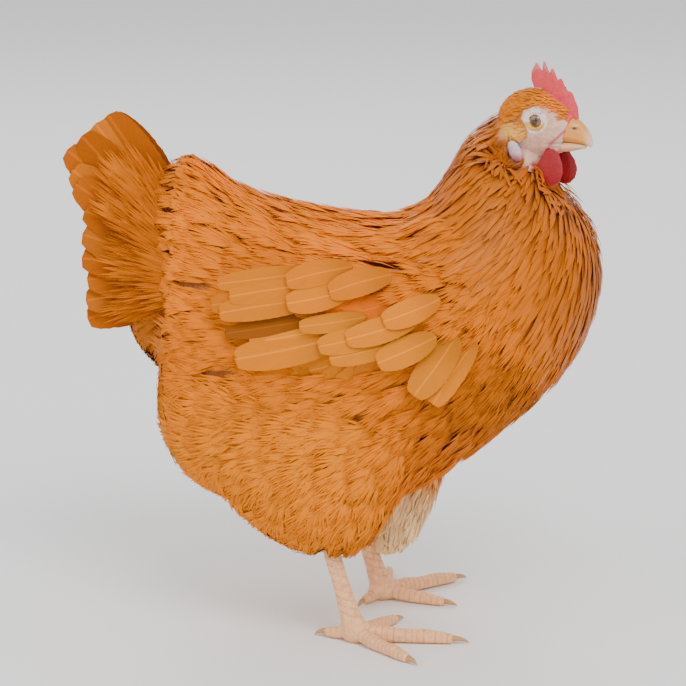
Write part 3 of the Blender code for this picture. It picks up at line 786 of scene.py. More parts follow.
@dataclass
class Skin:
    """The hen's one skin, which lies inside its plumage by the plumage's depth."""

    body_voxel: float = 0.0045
    head_voxel: float = 0.00065
    leg_voxel: float = 0.0009
    wing_middle: tuple = (0.026, 0.080, 0.231)
    wing_radii: tuple = (0.086, 0.017, 0.047)
    rump_middle: tuple = (-0.108, 0.0, 0.250)
    rump_radii: tuple = (0.050, 0.050, 0.078)
    eye_out: float = 0.0088
    lid_ring: float = 0.0054
    lid_thick: float = 0.00085
    body: bpy.types.Object = field(init=False)
    head: bpy.types.Object = field(init=False)

    def build_body(self) -> None:
        """Fuses the body's flesh into one hull and draws it in by the plumage's depth."""
        nodes = ("trunk", "neck", "thigh_left", "thigh_right", "head")
        pieces = [node_copy(node) for node in nodes]
        for sign in SIDES.values():
            place = np.array(self.wing_middle) * (1, sign, 1) + SHIFT
            pieces.append(ellipsoid(tuple(place), self.wing_radii))
        pieces.append(ellipsoid(tuple(np.array(self.rump_middle) + SHIFT), self.rump_radii))
        body = fused("body_hull", pieces, self.body_voxel)
        body = smoothed(body, 0.6, 6)
        points = points_of(body.data)
        depth = coat_depth(points - SHIFT)[:, None]
        move_points(body.data, points - normals_of(body.data) * depth)
        self.body = smoothed(body, 0.5, 2)

    def lids(self, sign: float) -> list[bpy.types.Object]:
        """The ring of lids round an eye, and the fold over it."""
        bm = bmesh.new()
        rows, sides = 40, 10
        grid = []
        for i in range(rows):
            turn = 2 * math.pi * i / rows
            thick = self.lid_thick * (1.0 + 0.25 * max(0.0, -math.sin(turn)))
            ring = []
            for k in range(sides):
                round_ = 2 * math.pi * k / sides
                reach = self.lid_ring + thick * math.cos(round_)
                flat = 0.93 if math.sin(turn) > 0 else 0.98
                x, z = reach * math.cos(turn), reach * math.sin(turn) * flat
                out = self.eye_out + 0.0047 + 0.0009 * math.sin(round_)
                ring.append(bm.verts.new((x, sign * out, z)))
            grid.append(ring)
        for i in range(rows):
            for k in range(sides):
                a, b = grid[i], grid[(i + 1) % rows]
                bm.faces.new((a[k], b[k], b[(k + 1) % sides], a[(k + 1) % sides]))
        bmesh.ops.recalc_face_normals(bm, faces=bm.faces)
        bm.transform(HEAD)
        mesh = bpy.data.meshes.new("lids")
        bm.to_mesh(mesh)
        bm.free()
        fold = ellipsoid((0.0010, sign * 0.0134, 0.0064), (0.0052, 0.0014, 0.0010), HEAD)
        return [new_object("lids", mesh), fold]

    def build_head(self) -> None:
        """Fuses the head with comb, wattles, earlobes and lids, and adds its folds."""
        nodes = ("head", "comb", "wattle_left", "wattle_right", "earlobe_left", "earlobe_right")
        pieces = [node_copy(node) for node in nodes]
        for sign in SIDES.values():
            pieces.extend(self.lids(sign))
        head = fused("head_hull", pieces, self.head_voxel)
        head = smoothed(head, 0.5, 3)
        points = points_of(head.data)
        local = to_frame(points, HEAD)
        side = mirrored(local)
        x, y, z = side.T
        mouth = np.abs(z + 0.0152 - 0.10 * (x - 0.016))
        crease = np.exp(-((mouth / 0.0007) ** 2)) * step(0.004, 0.007, x) * step(0.026, 0.02, x)
        cheek = bump_near(side, (-0.006, 0.015, -0.012), (0.006, 0.01, 0.0035))
        ear = np.hypot((x + 0.0165) / 1.3, z + 0.0060)
        hole = np.exp(-((ear / 0.0020) ** 2))
        folds = np.sin(np.hypot(x, z) * 4200 + 2.0 * np.sin(np.arctan2(z, x) * 5)) * 0.00010
        round_eye = np.exp(-(((np.hypot(x, z) - 0.0085) / 0.0025) ** 2)) * (y > 0.009)
        out = -0.0006 * crease + 0.0005 * cheek - 0.0008 * hole + folds * round_eye
        move_points(head.data, points + normals_of(head.data) * out[:, None])
        self.head = head

    def build_leg(self, side: str) -> bpy.types.Object:
        """One shank and foot, fused and evened."""
        pieces = [node_copy(f"shank_{side}"), node_copy(f"foot_{side}")]
        leg = smoothed(fused(f"leg_hull_{side}", pieces, self.leg_voxel), 0.6, 5)
        points = points_of(leg.data)
        above = step(0.0005, 0.003, points[:, 2])
        out = (0.00018 - 0.00050 * scute_grooves(points - SHIFT)) * above
        move_points(leg.data, points + normals_of(leg.data) * out[:, None])
        return leg

    def colours(self, points: Array) -> Array:
        """The skin's colours at points in the world's frame."""
        laid = points - SHIFT
        local = to_frame(points, HEAD)
        side = mirrored(local)
        x, y, z = side.T
        under = Markings.plumage(laid) * 0.8
        colour = under.copy()
        away = (local - (0.003, 0.0, -0.002)) / (0.040, 0.026, 0.050)
        on_head = (away**2).sum(axis=1) < 1.0
        colour[on_head] = Markings.bare(local)[on_head]
        feathered = HeadCoat.cover(local) > 0.5
        colour[on_head & feathered] = Markings.head_plumage(local)[on_head & feathered] * 0.85
        foot_line = np.minimum(0.0205 - 0.60 * x, 0.0215)
        comb = (z > np.maximum(foot_line, 0.0035)) & (y < 0.008) & (x > -0.020)
        comb |= (x > 0.019) & (z > -0.003) & (y < 0.006)
        comb &= (np.abs(local[:, 0]) < 0.04) & (laid[:, 2] > 0.355)
        # Painted highlight: the comb's points are blended towards a pale pink.
        tips = step(0.030, 0.041, z)
        colour[comb] = blend_colours(
            np.tile(Markings.comb, (len(points), 1)), Markings.comb_tip_highlight, tips * 0.7
        )[comb]
        lobe = bump_near(side, (-0.0140, 0.0165, -0.0215), (0.0062, 0.006, 0.0095)) > 0.30
        lobe &= on_head
        red = bump_near(side, (-0.0105, 0.0165, -0.0265), (0.0035, 0.01, 0.0035))
        colour[lobe] = blend_colours(
            np.tile(Markings.lobe, (len(points), 1)), Markings.lobe_red, red * 0.8
        )[lobe]
        off = (side - (0.0105, 0.0120, -0.0325)) / (0.0128, 0.0075, 0.0162)
        wattle = on_head & ((off**2).sum(axis=1) < 1.0)
        rim = step(-0.043, -0.047, z) * 0.6
        colour[wattle] = blend_colours(
            np.tile(Markings.wattle, (len(points), 1)), Markings.wattle_rim, rim
        )[wattle]
        leg = laid[:, 2] < 0.085
        leg_tone = np.tile(Markings.leg, (len(points), 1))
        leg_tone = blend_colours(leg_tone, Markings.leg_red, scute_grooves(laid) * 0.75)
        colour[leg] = leg_tone[leg]
        return colour

    def build(self) -> bpy.types.Object:
        """Builds the whole skin as one mesh.

        Returns:
            The skin, which replaces every node of flesh.
        """
        self.build_body()
        self.build_head()
        skin = new_object("skin", self.body.data.copy())
        others = [new_object("head_part", self.head.data.copy())]
        others += [self.build_leg(side) for side in SIDES]
        for other in others:
            modifier = skin.modifiers.new("grow", "BOOLEAN")
            modifier.operation = "UNION"
            modifier.object = other
            modifier.solver = "MANIFOLD"
        skin = settled(skin)
        drop(*others)
        store(skin.data, "tint", "FLOAT_COLOR", self.colours(points_of(skin.data)))
        skin.data.materials.clear()
        skin.data.materials.append(SkinFinish("bare skin").make())
        skin.data.shade_smooth()
        unwrapped(skin, "OFBake")
        flesh = ["head", "neck", "trunk", "tail", "comb"]
        for side in SIDES:
            parts = ("wattle", "earlobe", "wing", "thigh", "shank", "foot")
            flesh += [f"{part}_{side}" for part in parts]
        return finished(skin, "face", *flesh)


def finished(piece: bpy.types.Object, slot: str, *nodes: str) -> bpy.types.Object:
    """Makes a piece ride on the body, hides the nodes that it replaces and logs its faces."""
    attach(piece, "root")
    if nodes:
        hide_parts(*nodes)
    log.info("%s: %d faces", piece.name, len(piece.data.polygons))
    return piece


# ---------------------------------------------------------------- single feathers


def kind_object(bm: bmesh.types.BMesh, name: str) -> bpy.types.Object:
    """A feather variant as an object, with each point's level over the skin stored."""
    mesh = bpy.data.meshes.new(name)
    bm.to_mesh(mesh)
    bm.free()
    mesh.shade_smooth()
    store(mesh, "level", "FLOAT", points_of(mesh)[:, 2])
    return bpy.data.objects.new(name, mesh)


@dataclass(frozen=True)
class Vane:
    """A feather's shape, one wide, one long and one deep, from its root along +y.

    The vane is a closed thin blade with a raised shaft line. It rises from the skin all the
    way to its tip, so that neighbours overlap in layers, and its edge is split into barbs.
    """

    rows: int = 10
    swell: float = 0.85  # below 1 its widest place is nearer the root
    point: float = 0.5  # above 1 the tip is drawn out to a point
    notch: float = 0.10
    droop: float = 0.10
    start: float = 0.10  # its root's height
    thick: float = 0.02

    def half_width(self, along: float) -> float:
        """Half the vane's width at a place along it."""
        return 0.5 * max(math.sin(math.pi * along**self.swell), 0.0) ** self.point

    def height(self, along: float) -> float:
        """How high the shaft runs over the skin at a place along it."""
        return self.start + (1 - self.start) * math.sin(along * math.pi / 2) ** 0.9

    def build(self, name: str, seed: int) -> bpy.types.Object:
        """Builds one variant.

        Args:
            name: The object's name.
            seed: Which variant's notches and twist.

        Returns:
            The feather as a closed mesh with the map "vane".
        """
        chance = np.random.default_rng(seed)
        twist = chance.uniform(-0.06, 0.06)
        bm = bmesh.new()
        layer = bm.loops.layers.uv.new("vane")
        places = [0.0, *((i + 0.5) / (self.rows + 0.35) for i in range(self.rows)), 1.0]
        rings, spots = [], {}
        for number, along in enumerate(places):
            edge = 0 < number < len(places) - 1
            half = self.half_width(along) if edge else 0.012
            left = half * (1 - self.notch * (number % 2) * chance.uniform(0.2, 1.8))
            right = half * (1 - self.notch * ((number + 1) % 2) * chance.uniform(0.2, 1.8))
            level = self.height(along)
            bend = twist * math.sin(math.pi * along)
            ahead = min(along + 0.09 * half, 1.0) if edge else along
            thick = self.thick * (1.0 if edge else 0.3)
            ring = (
                (bend - left, ahead, level - self.droop * left, 0.5 - left),
                (bend, along, level + thick / 2, 0.5),
                (bend + right, ahead, level - self.droop * right, 0.5 + right),
                (bend, along, level - thick / 2, 0.5),
            )
            verts = []
            for x, y, z, u in ring:
                vert = bm.verts.new((x, y, z))
                spots[vert] = (u, along)
                verts.append(vert)
            rings.append(verts)
        for low, high in zip(rings, rings[1:]):
            for i in range(4):
                j = (i + 1) % 4
                bm.faces.new((low[i], low[j], high[j], high[i]))
        bm.faces.new(rings[0][::-1])
        bm.faces.new(rings[-1])
        bmesh.ops.recalc_face_normals(bm, faces=bm.faces)
        crisp(bm)
        for face in bm.faces:
            for loop in face.loops:
                loop[layer].uv = spots[loop.vert]
        return kind_object(bm, name)


@dataclass(frozen=True)
class Tuft:
    """A soft tuft: flat closed strands that fan out from one root along +y and overlap."""

    strands: int = 17
    spread: float = 0.85
    start: float = 0.10
    thick: float = 0.015
    width: float = 0.040

    def build(self, name: str, seed: int) -> bpy.types.Object:
        """Builds one variant, as a vane's build does."""
        chance = np.random.default_rng(seed)
        bm = bmesh.new()
        layer = bm.loops.layers.uv.new("vane")
        for number in range(self.strands):
            lean = (number / (self.strands - 1) - 0.5) * 2
            reach = 1.0 - 0.25 * lean * lean + chance.uniform(-0.16, 0.05)
            side = lean * self.spread * 0.5 + chance.uniform(-0.05, 0.05)
            lift = chance.uniform(0.90, 1.04)
            rings = []
            for along, share in ((0.0, 0.7), (0.60, 1.1), (1.0, 0.08)):
                out = side * along**0.9
                z = lift * (self.start + (1 - self.start) * math.sin(along * math.pi / 2) ** 0.9)
                half = self.width * share
                ring = (
                    bm.verts.new((out - half, reach * along, z - self.thick)),
                    bm.verts.new((out, reach * along, z + self.thick * share)),
                    bm.verts.new((out + half, reach * along, z - self.thick)),
                )
                rings.append((along, ring))
            for (v0, low), (v1, high) in zip(rings, rings[1:]):
                for i in range(3):
                    j = (i + 1) % 3
                    face = bm.faces.new((low[i], low[j], high[j], high[i]))
                    for loop, v in zip(face.loops, (v0, v0, v1, v1)):
                        loop[layer].uv = (0.5 + side * 0.6, v)
            for ring, v in ((rings[0][1][::-1], 0.0), (rings[-1][1], 1.0)):
                for loop in bm.faces.new(ring).loops:
                    loop[layer].uv = (0.5 + side * 0.6, v)
        bmesh.ops.recalc_face_normals(bm, faces=bm.faces)
        crisp(bm)
        return kind_object(bm, name)


# ---------------------------------------------------------------- the plumage's node tree


class Source(Enum):
    """Where a plumage tree gets its roots from."""

    SCATTER = "scattered over a surface"
    POINTS = "the points of a mesh"


class PlumageTree:
    """The node tree that roots feathers on a skin and lays them along it."""

    def __init__(self, source: Source) -> None:
        """Builds the tree for one kind of source."""
        self.tree = bpy.data.node_groups.new(f"plumage, {source.value}", "GeometryNodeTree")
        self.source = source
        self.sockets: dict[str, str] = {}
        self._declare()
        self._wire()

    def _declare(self) -> None:
        face = self.tree.interface
        face.new_socket("Geometry", in_out="OUTPUT", socket_type="NodeSocketGeometry")
        kinds = {
            "Geometry": "Geometry",
            "Feathers": "Collection",
            "Cover": "String",
            "Spacing": "Float",
            "Crowding": "Float",
            "Seed": "Int",
            "Unrest": "Vector",
            "Patch": "Float",
            "Finish": "Material",
        }
        for name, kind in kinds.items():
            socket = face.new_socket(name, in_out="INPUT", socket_type=f"NodeSocket{kind}")
            self.sockets[name] = socket.identifier

    def _add(self, kind: str, **settings: object) -> bpy.types.Node:
        """Adds a node and sets its properties."""
        node = self.tree.nodes.new(kind)
        for key, value in settings.items():
            setattr(node, key, value)
        return node

    def _link(self, source: bpy.types.NodeSocket, target: bpy.types.NodeSocket) -> None:
        """Joins two sockets."""
        self.tree.links.new(source, target)

    def _named(self, kind: str, name: str) -> bpy.types.NodeSocket:
        """Reads a named attribute."""
        node = self._add("GeometryNodeInputNamedAttribute", data_type=kind)
        node.inputs["Name"].default_value = name
        return node.outputs["Attribute"]

    def _random(self, kind: str, low: object, high: object, salt: int) -> bpy.types.Node:
        """Random values from the tree's seed and a salt."""
        node = self._add("FunctionNodeRandomValue", data_type=kind)
        index = {"FLOAT_VECTOR": (0, 1), "FLOAT": (2, 3), "INT": (4, 5)}[kind]
        for slot, value in zip(index, (low, high)):
            if isinstance(value, bpy.types.NodeSocket):
                self._link(value, node.inputs[slot])
            else:
                node.inputs[slot].default_value = value
        total = self._add("ShaderNodeMath", operation="ADD")
        self._link(self.given.outputs["Seed"], total.inputs[0])
        total.inputs[1].default_value = salt
        self._link(total.outputs[0], node.inputs["Seed"])
        return node

    def _roots(self) -> tuple[bpy.types.NodeSocket, bpy.types.NodeSocket]:
        """The feathers' roots, and the way out of the skin at each."""
        if self.source is Source.POINTS:
            points = self._add("GeometryNodeMeshToPoints")
            self._link(self.given.outputs["Geometry"], points.inputs["Mesh"])
            return points.outputs[0], self._named("FLOAT_VECTOR", "facing")
        spread = self._add("GeometryNodeDistributePointsOnFaces", distribute_method="POISSON")
        self._link(self.given.outputs["Geometry"], spread.inputs["Mesh"])
        self._link(self.given.outputs["Spacing"], spread.inputs["Distance Min"])
        self._link(self.given.outputs["Crowding"], spread.inputs["Density Max"])
        self._link(self.given.outputs["Seed"], spread.inputs["Seed"])
        cover = self._add("GeometryNodeInputNamedAttribute", data_type="FLOAT")
        self._link(self.given.outputs["Cover"], cover.inputs["Name"])
        self._link(cover.outputs["Attribute"], spread.inputs["Density Factor"])
        return spread.outputs["Points"], spread.outputs["Normal"]

    def _laid_on_skin(self, feathers: bpy.types.NodeSocket) -> bpy.types.NodeSocket:
        """Bends the feathers over the skin: each point keeps its own level above it."""
        near = self._add("GeometryNodeProximity", target_element="FACES")
        self._link(self.given.outputs["Geometry"], near.inputs[0])
        facing = self._add("GeometryNodeSampleNearestSurface", data_type="FLOAT_VECTOR")
        self._link(self.given.outputs["Geometry"], facing.inputs["Mesh"])
        self._link(self._add("GeometryNodeInputNormal").outputs[0], facing.inputs["Value"])
        size = self._add("ShaderNodeSeparateXYZ")
        self._link(self._named("FLOAT_VECTOR", "size"), size.inputs[0])
        level = self._add("ShaderNodeMath", operation="MULTIPLY")
        self._link(self._named("FLOAT", "level"), level.inputs[0])
        self._link(size.outputs[2], level.inputs[1])
        loose = self._add("ShaderNodeMath", operation="MULTIPLY_ADD")
        self._link(self._named("FLOAT", "shade"), loose.inputs[0])
        loose.inputs[1].default_value = 0.45
        loose.inputs[2].default_value = 0.85
        lifted = self._add("ShaderNodeMath", operation="MULTIPLY")
        self._link(level.outputs[0], lifted.inputs[0])
        self._link(loose.outputs[0], lifted.inputs[1])
        rise = self._add("ShaderNodeVectorMath", operation="SCALE")
        self._link(facing.outputs["Value"], rise.inputs[0])
        self._link(lifted.outputs[0], rise.inputs["Scale"])
        spot = self._add("ShaderNodeVectorMath", operation="ADD")
        self._link(near.outputs["Position"], spot.inputs[0])
        self._link(rise.outputs[0], spot.inputs[1])
        moved = self._add("GeometryNodeSetPosition")
        self._link(feathers, moved.inputs["Geometry"])
        self._link(spot.outputs[0], moved.inputs["Position"])
        return moved.outputs[0]

    def _wire(self) -> None:
        """Wires roots, turns, sizes, instances and the map for baking."""
        self.given = self._add("NodeGroupInput")
        points, facing = self._roots()
        turn = self._add("FunctionNodeAxesToRotation", primary_axis="Z", secondary_axis="Y")
        self._link(facing, turn.inputs[0])
        self._link(self._named("FLOAT_VECTOR", "lie"), turn.inputs[1])
        flip = self._add("ShaderNodeVectorMath", operation="SCALE")
        self._link(self.given.outputs["Unrest"], flip.inputs[0])
        flip.inputs["Scale"].default_value = -1.0
        jitter = self._random("FLOAT_VECTOR", flip.outputs[0], self.given.outputs["Unrest"], 1)
        euler = self._add("FunctionNodeEulerToRotation")
        self._link(jitter.outputs[0], euler.inputs[0])
        turned = self._add("FunctionNodeRotateRotation", rotation_space="LOCAL")
        self._link(turn.outputs[0], turned.inputs[0])
        self._link(euler.outputs[0], turned.inputs[1])
        least, most = (0.82, 1.18) if self.source is Source.SCATTER else (0.97, 1.0)
        grow = self._random("FLOAT", least, most, 2)
        size = self._add("ShaderNodeVectorMath", operation="SCALE")
        self._link(self._named("FLOAT_VECTOR", "size"), size.inputs[0])
        self._link(grow.outputs[1], size.inputs["Scale"])
        shade = self._add("GeometryNodeStoreNamedAttribute", data_type="FLOAT", domain="POINT")
        shade.inputs["Name"].default_value = "shade"
        self._link(points, shade.inputs["Geometry"])
        self._link(self._random("FLOAT", 0.0, 1.0, 3).outputs[1], shade.inputs["Value"])
        kinds = self._add("GeometryNodeCollectionInfo", transform_space="ORIGINAL")
        kinds.inputs["Separate Children"].default_value = True
        kinds.inputs["Reset Children"].default_value = True
        self._link(self.given.outputs["Feathers"], kinds.inputs["Collection"])
        place = self._add("GeometryNodeInstanceOnPoints")
        place.inputs["Pick Instance"].default_value = True
        self._link(shade.outputs[0], place.inputs["Points"])
        self._link(kinds.outputs[0], place.inputs["Instance"])
        self._link(self._random("INT", 0, 99, 4).outputs[2], place.inputs["Instance Index"])
        self._link(turned.outputs[0], place.inputs["Rotation"])
        self._link(size.outputs[0], place.inputs["Scale"])
        whole = self._add("GeometryNodeRealizeInstances")
        self._link(place.outputs[0], whole.inputs[0])
        laid = whole.outputs[0]
        if self.source is Source.SCATTER:
            laid = self._laid_on_skin(laid)
        vane = self._add("ShaderNodeVectorMath", operation="SCALE")
        self._link(self._named("FLOAT_VECTOR", "vane"), vane.inputs[0])
        self._link(self.given.outputs["Patch"], vane.inputs["Scale"])
        spot = self._add("ShaderNodeVectorMath", operation="ADD")
        self._link(self._named("FLOAT_VECTOR", "root_uv"), spot.inputs[0])
        self._link(vane.outputs[0], spot.inputs[1])
        chart = self._add("GeometryNodeStoreNamedAttribute", data_type="FLOAT2", domain="CORNER")
        chart.inputs["Name"].default_value = "OFBake"
        self._link(laid, chart.inputs["Geometry"])
        self._link(spot.outputs[0], chart.inputs["Value"])
        finish = self._add("GeometryNodeSetMaterial")
        self._link(chart.outputs[0], finish.inputs["Geometry"])
        self._link(self.given.outputs["Finish"], finish.inputs["Material"])
        out = self._add("NodeGroupOutput")
        self._link(finish.outputs[0], out.inputs[0])


@dataclass
class Coat:
    """One tract of plumage, scattered over the skin with feathers of one kind."""

    name: str
    kind: Vane | Tuft
    finish: FeatherFinish
    spacing: float
    cover: Callable[[Array], Array]
    lie: Callable[[Array], Array]
    size: Callable[[Array], Array]
    tint: Callable[[Array], Array]
    unrest: tuple = (0.08, 0.06, 0.14)
    variants: int = 4
    patch: float = 0.003
    slot: str = "plumage"
    half: float = 0.0  # +1 or -1 keeps only the hen's left or right side

    def kinds(self) -> bpy.types.Collection:
        """The collection of this tract's feather variants."""
        box = bpy.data.collections.new(f"{self.name} feathers")
        for number in range(self.variants):
            box.objects.link(self.kind.build(f"{self.name}_kind_{number}", SEED + number))
        return box

    def attributes(self, mesh: bpy.types.Mesh) -> None:
        """Stores what the tree reads on the surface that the feathers root on."""
        points = points_of(mesh)
        laid = points - SHIFT
        normals = normals_of(mesh)
        cover = np.clip(self.cover(laid), 0.0, 1.0)
        if self.half:
            cover = cover * (laid[:, 1] * self.half > 0)
        lie = self.lie(laid)
        lie = unit(lie - normals * (lie * normals).sum(axis=1, keepdims=True))
        store(mesh, "cover", "FLOAT", cover)
        store(mesh, "lie", "FLOAT_VECTOR", lie)
        store(mesh, "size", "FLOAT_VECTOR", self.size(laid))
        store(mesh, "tint", "FLOAT_COLOR", self.tint(laid))

    def grow(self, tree: PlumageTree, surface: bpy.types.Mesh) -> bpy.types.Object:
        """Grows the tract.

        Args:
            tree: The node tree.
            surface: The skin's hull, with the map "root_uv", or root points.

        Returns:
            The tract as one plain mesh.
        """
        mesh = surface.copy()
        if tree.source is Source.SCATTER:
            self.attributes(mesh)
        base = new_object(self.name, mesh)
        finish = self.finish.make()
        box = self.kinds()
        modifier = base.modifiers.new("plumage", "NODES")
        modifier.node_group = tree.tree
        values = {
            "Feathers": box,
            "Cover": "cover",
            "Spacing": self.spacing,
            "Crowding": 3.0 / self.spacing**2,
            "Seed": SEED + len(self.name),
            "Unrest": self.unrest,
            "Patch": self.patch,
            "Finish": finish,
        }
        for key, value in values.items():
            modifier[tree.sockets[key]] = value
        grown = baked(base, self.name)
        base.modifiers.clear()
        base.data = grown
        for made in list(box.objects):
            bpy.data.objects.remove(made)
        bpy.data.collections.remove(box)
        for attribute in ("cover", "lie", "size", "root_uv", "facing", "level"):
            if attribute in grown.attributes:
                grown.attributes.remove(grown.attributes[attribute])
        grown.uv_layers.active = grown.uv_layers["OFBake"]
        grown.shade_smooth()
        return finished(base, self.slot)


# ---------------------------------------------------------------- the tracts


def vectors(points: Array, *parts: object) -> Array:
    """Rows from three parts, each a number or one number a point."""
    return np.stack([np.broadcast_to(part, len(points)) for part in parts], axis=1).astype(float)


class HeadCoat:
    """The head's small close feathers."""

    @staticmethod
    def cover(local: Array) -> Array:
        """Where the head is feathered, at points in the head's frame."""
        side = mirrored(local)
        x, y, z = side.T
        bare = within(FACE_OUTLINE, x, z) & (y > 0.0025)
        bare |= (z < -0.020) & (x > -0.004)
        comb = (z > np.maximum(0.0205 - 0.60 * x, 0.0035)) & (y < 0.0040) & (x > -0.009)
        bill = (x > 0.0215) | ((x > 0.016) & (z < 0.0))
        ridge = (np.abs(z + 0.0012 + 0.10 * (x + 0.017)) < 0.0008) & (x > -0.023) & (x < -0.009)
        return (~bare & ~comb & ~bill & ~ridge & (z < 0.0205)).astype(float)


def body_lie(laid: Array) -> Array:
    """The way that feathers lie on the body: tailwards, and down over thighs and belly."""
    _, lie = COURSE.read(laid)
    x, y, z = laid.T
    lie = lie + vectors(laid, 0.0, 0.0, -0.30 * step(0.27, 0.20, z))
    low = step(0.17, 0.11, z) * step(0.11, 0.07, x)
    down = vectors(laid, -0.45, 0.0, -0.90)
    lie = lie * (1 - low[:, None]) + down * low[:, None]
    rear = step(-0.105, -0.125, x)[:, None]
    fan = unit((laid - TAIL_FAN) + (-0.02, 0, -0.01))
    return unit(lie * (1 - rear) + fan * rear)


@dataclass
class Plumage:
    """All the hen's scattered tracts."""

    skin: Skin

    def zones(self, laid: Array) -> dict[str, Array]:
        """How much each place belongs to each tract."""
        along, _ = COURSE.read(laid)
        x, y, z = laid.T
        neck = step(8.3, 9.0, along)
        fluffy = step(0.200, 0.165, z + 0.25 * (x + 0.02)) * step(0.085, 0.050, x)
        fluffy = np.maximum(fluffy, step(-0.085, -0.105, x) * step(0.185, 0.165, z))
        wing_at = bump_near(np.abs(laid - (0.026, 0, 0.231)), (0, 0.092, 0), (0.080, 0.028, 0.038))
        wing = step(0.45, 0.60, wing_at) * (1 - neck)
        rest = (1 - neck) * (1 - fluffy) * (1 - wing)
        front = step(5.4, 6.4, along)
        top = (laid[:, 2] > 0.405).astype(float)
        head = bump_near(laid, (0.138, 0.0, 0.357), (0.030, 0.028, 0.030)) > 0.42
        bare = 1 - np.maximum(top, head.astype(float))
        return {
            "hackle": neck * bare,
            "fluff": fluffy * (1 - wing),
            "breast": rest * front * bare,
            "back": rest * (1 - front),
            "wing": wing,
        }

    def coats(self) -> list[Coat]:
        """The tracts over the body."""
        return [
            Coat(
                "hackle",
                Vane(rows=7, swell=0.80, point=0.62, notch=0.06, droop=0.06),
                FeatherFinish(
                    "hackle feather", Grain.LENGTH, 0.42, 0.30, 0.30, 0.25, fineness=0.35
                ),
                0.0029,
                lambda laid: self.zones(laid)["hackle"],
                body_lie,
                self.hackle_size,
                Markings.plumage,
                (0.015, 0.03, 0.11),
            ),
            Coat(
                "breast_feathers",
                Tuft(strands=13, spread=0.75, width=0.055),
                FeatherFinish("breast feather", Grain.LENGTH, 0.6, 0.16, 0.06, 0.1, fineness=0.6),
                0.0068,
                lambda laid: self.zones(laid)["breast"],
                body_lie,
                lambda laid: vectors(laid, 0.0175, 0.0300, coat_depth(laid)),
                Markings.plumage,
                (0.015, 0.03, 0.20),
            ),
            Coat(
                "back_feathers",
                Tuft(strands=13, spread=0.70, width=0.055),
                FeatherFinish("back feather", Grain.LENGTH, 0.55, 0.16, 0.08, 0.1, fineness=0.6),
                0.0072,
                lambda laid: self.zones(laid)["back"],
                body_lie,
                lambda laid: vectors(laid, 0.0190, 0.0340, coat_depth(laid)),
                Markings.plumage,
                (0.015, 0.03, 0.18),
            ),
            *(
                Coat(
                    f"fluff_{side}",
                    Tuft(),
                    FeatherFinish("fluff", Grain.LENGTH, 0.8, 0.12, 0.0, 0.15, 0.75, 0.4),
                    0.0058,
                    lambda laid: self.zones(laid)["fluff"],
                    body_lie,
                    lambda laid: vectors(laid, 0.030, 0.034, coat_depth(laid)),
                    Markings.plumage,
                    (0.03, 0.04, 0.24),
                    slot="down",
                    half=sign,
                )
                for side, sign in SIDES.items()
            ),
            Coat(
                "wing_coverts",
                Vane(rows=10, swell=0.92, point=0.40, notch=0.05, droop=0.12),
                FeatherFinish("wing feather", Grain.BARBS, 0.5, 0.12, 0.22, 0.12),
                0.0090,
                lambda laid: self.zones(laid)["wing"],
                lambda laid: vectors(laid, -1.0, 0.0, -0.36),
                lambda laid: vectors(laid, 0.0185, 0.0330, 0.6 * coat_depth(laid)),
                Markings.wing_at,
                (0.02, 0.03, 0.10),
            ),
        ]

    @staticmethod
    def hackle_size(laid: Array) -> Array:
        """Hackle feathers are short by the head and long over the shoulders."""
        along, _ = COURSE.read(laid)
        long = 0.044 - 0.022 * step(8.6, 11.6, along)
        return vectors(laid, long * 0.125, long, coat_depth(laid))

    def head_coat(self) -> Coat:
        """The head's small feathers."""

        def local(laid: Array) -> Array:
            return to_frame(laid + SHIFT, HEAD)

        def lie(laid: Array) -> Array:
            back = -np.array(HEAD.col[0][:3])
            flow = vectors(laid, back[0], back[1], -0.28)
            return flow

        def size(laid: Array) -> Array:
            place = mirrored(local(laid))
            near = bump_near(place, (0.012, 0.0, 0.008), (0.016, 0.03, 0.012))
            tuft = bump_near(place, (-0.0145, 0.014, -0.0085), (0.010, 0.02, 0.006))
            nape = step(-0.012, -0.026, place[:, 0])
            share = 1 - 0.40 * near + 0.35 * tuft + 0.55 * nape
            return vectors(laid, 0.0020 * share, 0.0066 * share, 0.0013)

        return Coat(
            "head_feathers",
            Vane(rows=4, swell=0.8, point=0.6, notch=0.10, droop=0.3, thick=0.12),
            FeatherFinish("head feather", Grain.LENGTH, 0.55, 0.30, 0.15, 0.15),
            0.00150,
            lambda laid: HeadCoat.cover(local(laid)),
            lie,
            size,
            lambda laid: Markings.head_plumage(local(laid)),
            (0.08, 0.08, 0.2),
        )

    def build(self) -> None:
        """Grows every tract."""
        tree = PlumageTree(Source.SCATTER)
        unwrapped(self.skin.body, "root_uv")
        unwrapped(self.skin.head, "root_uv")
        for coat in self.coats():
            coat.grow(tree, self.skin.body.data)
        self.head_coat().grow(tree, self.skin.head.data)


# ---------------------------------------------------------------- wing and tail feathers


@dataclass(frozen=True)
class Quill:
    """One large feather by root and tip, as (x, z) in the layout frame, and its width.

    root_out and tip_out are the distances from the plane of symmetry there.
    """

    root: tuple
    tip: tuple
    width: float
    root_out: float
    tip_out: float
    tint: str = "dc8a38"


def as_laid(laid: Array) -> Array:
    """Stands in for a tract's rules where its roots already carry what the tree reads."""
    return laid


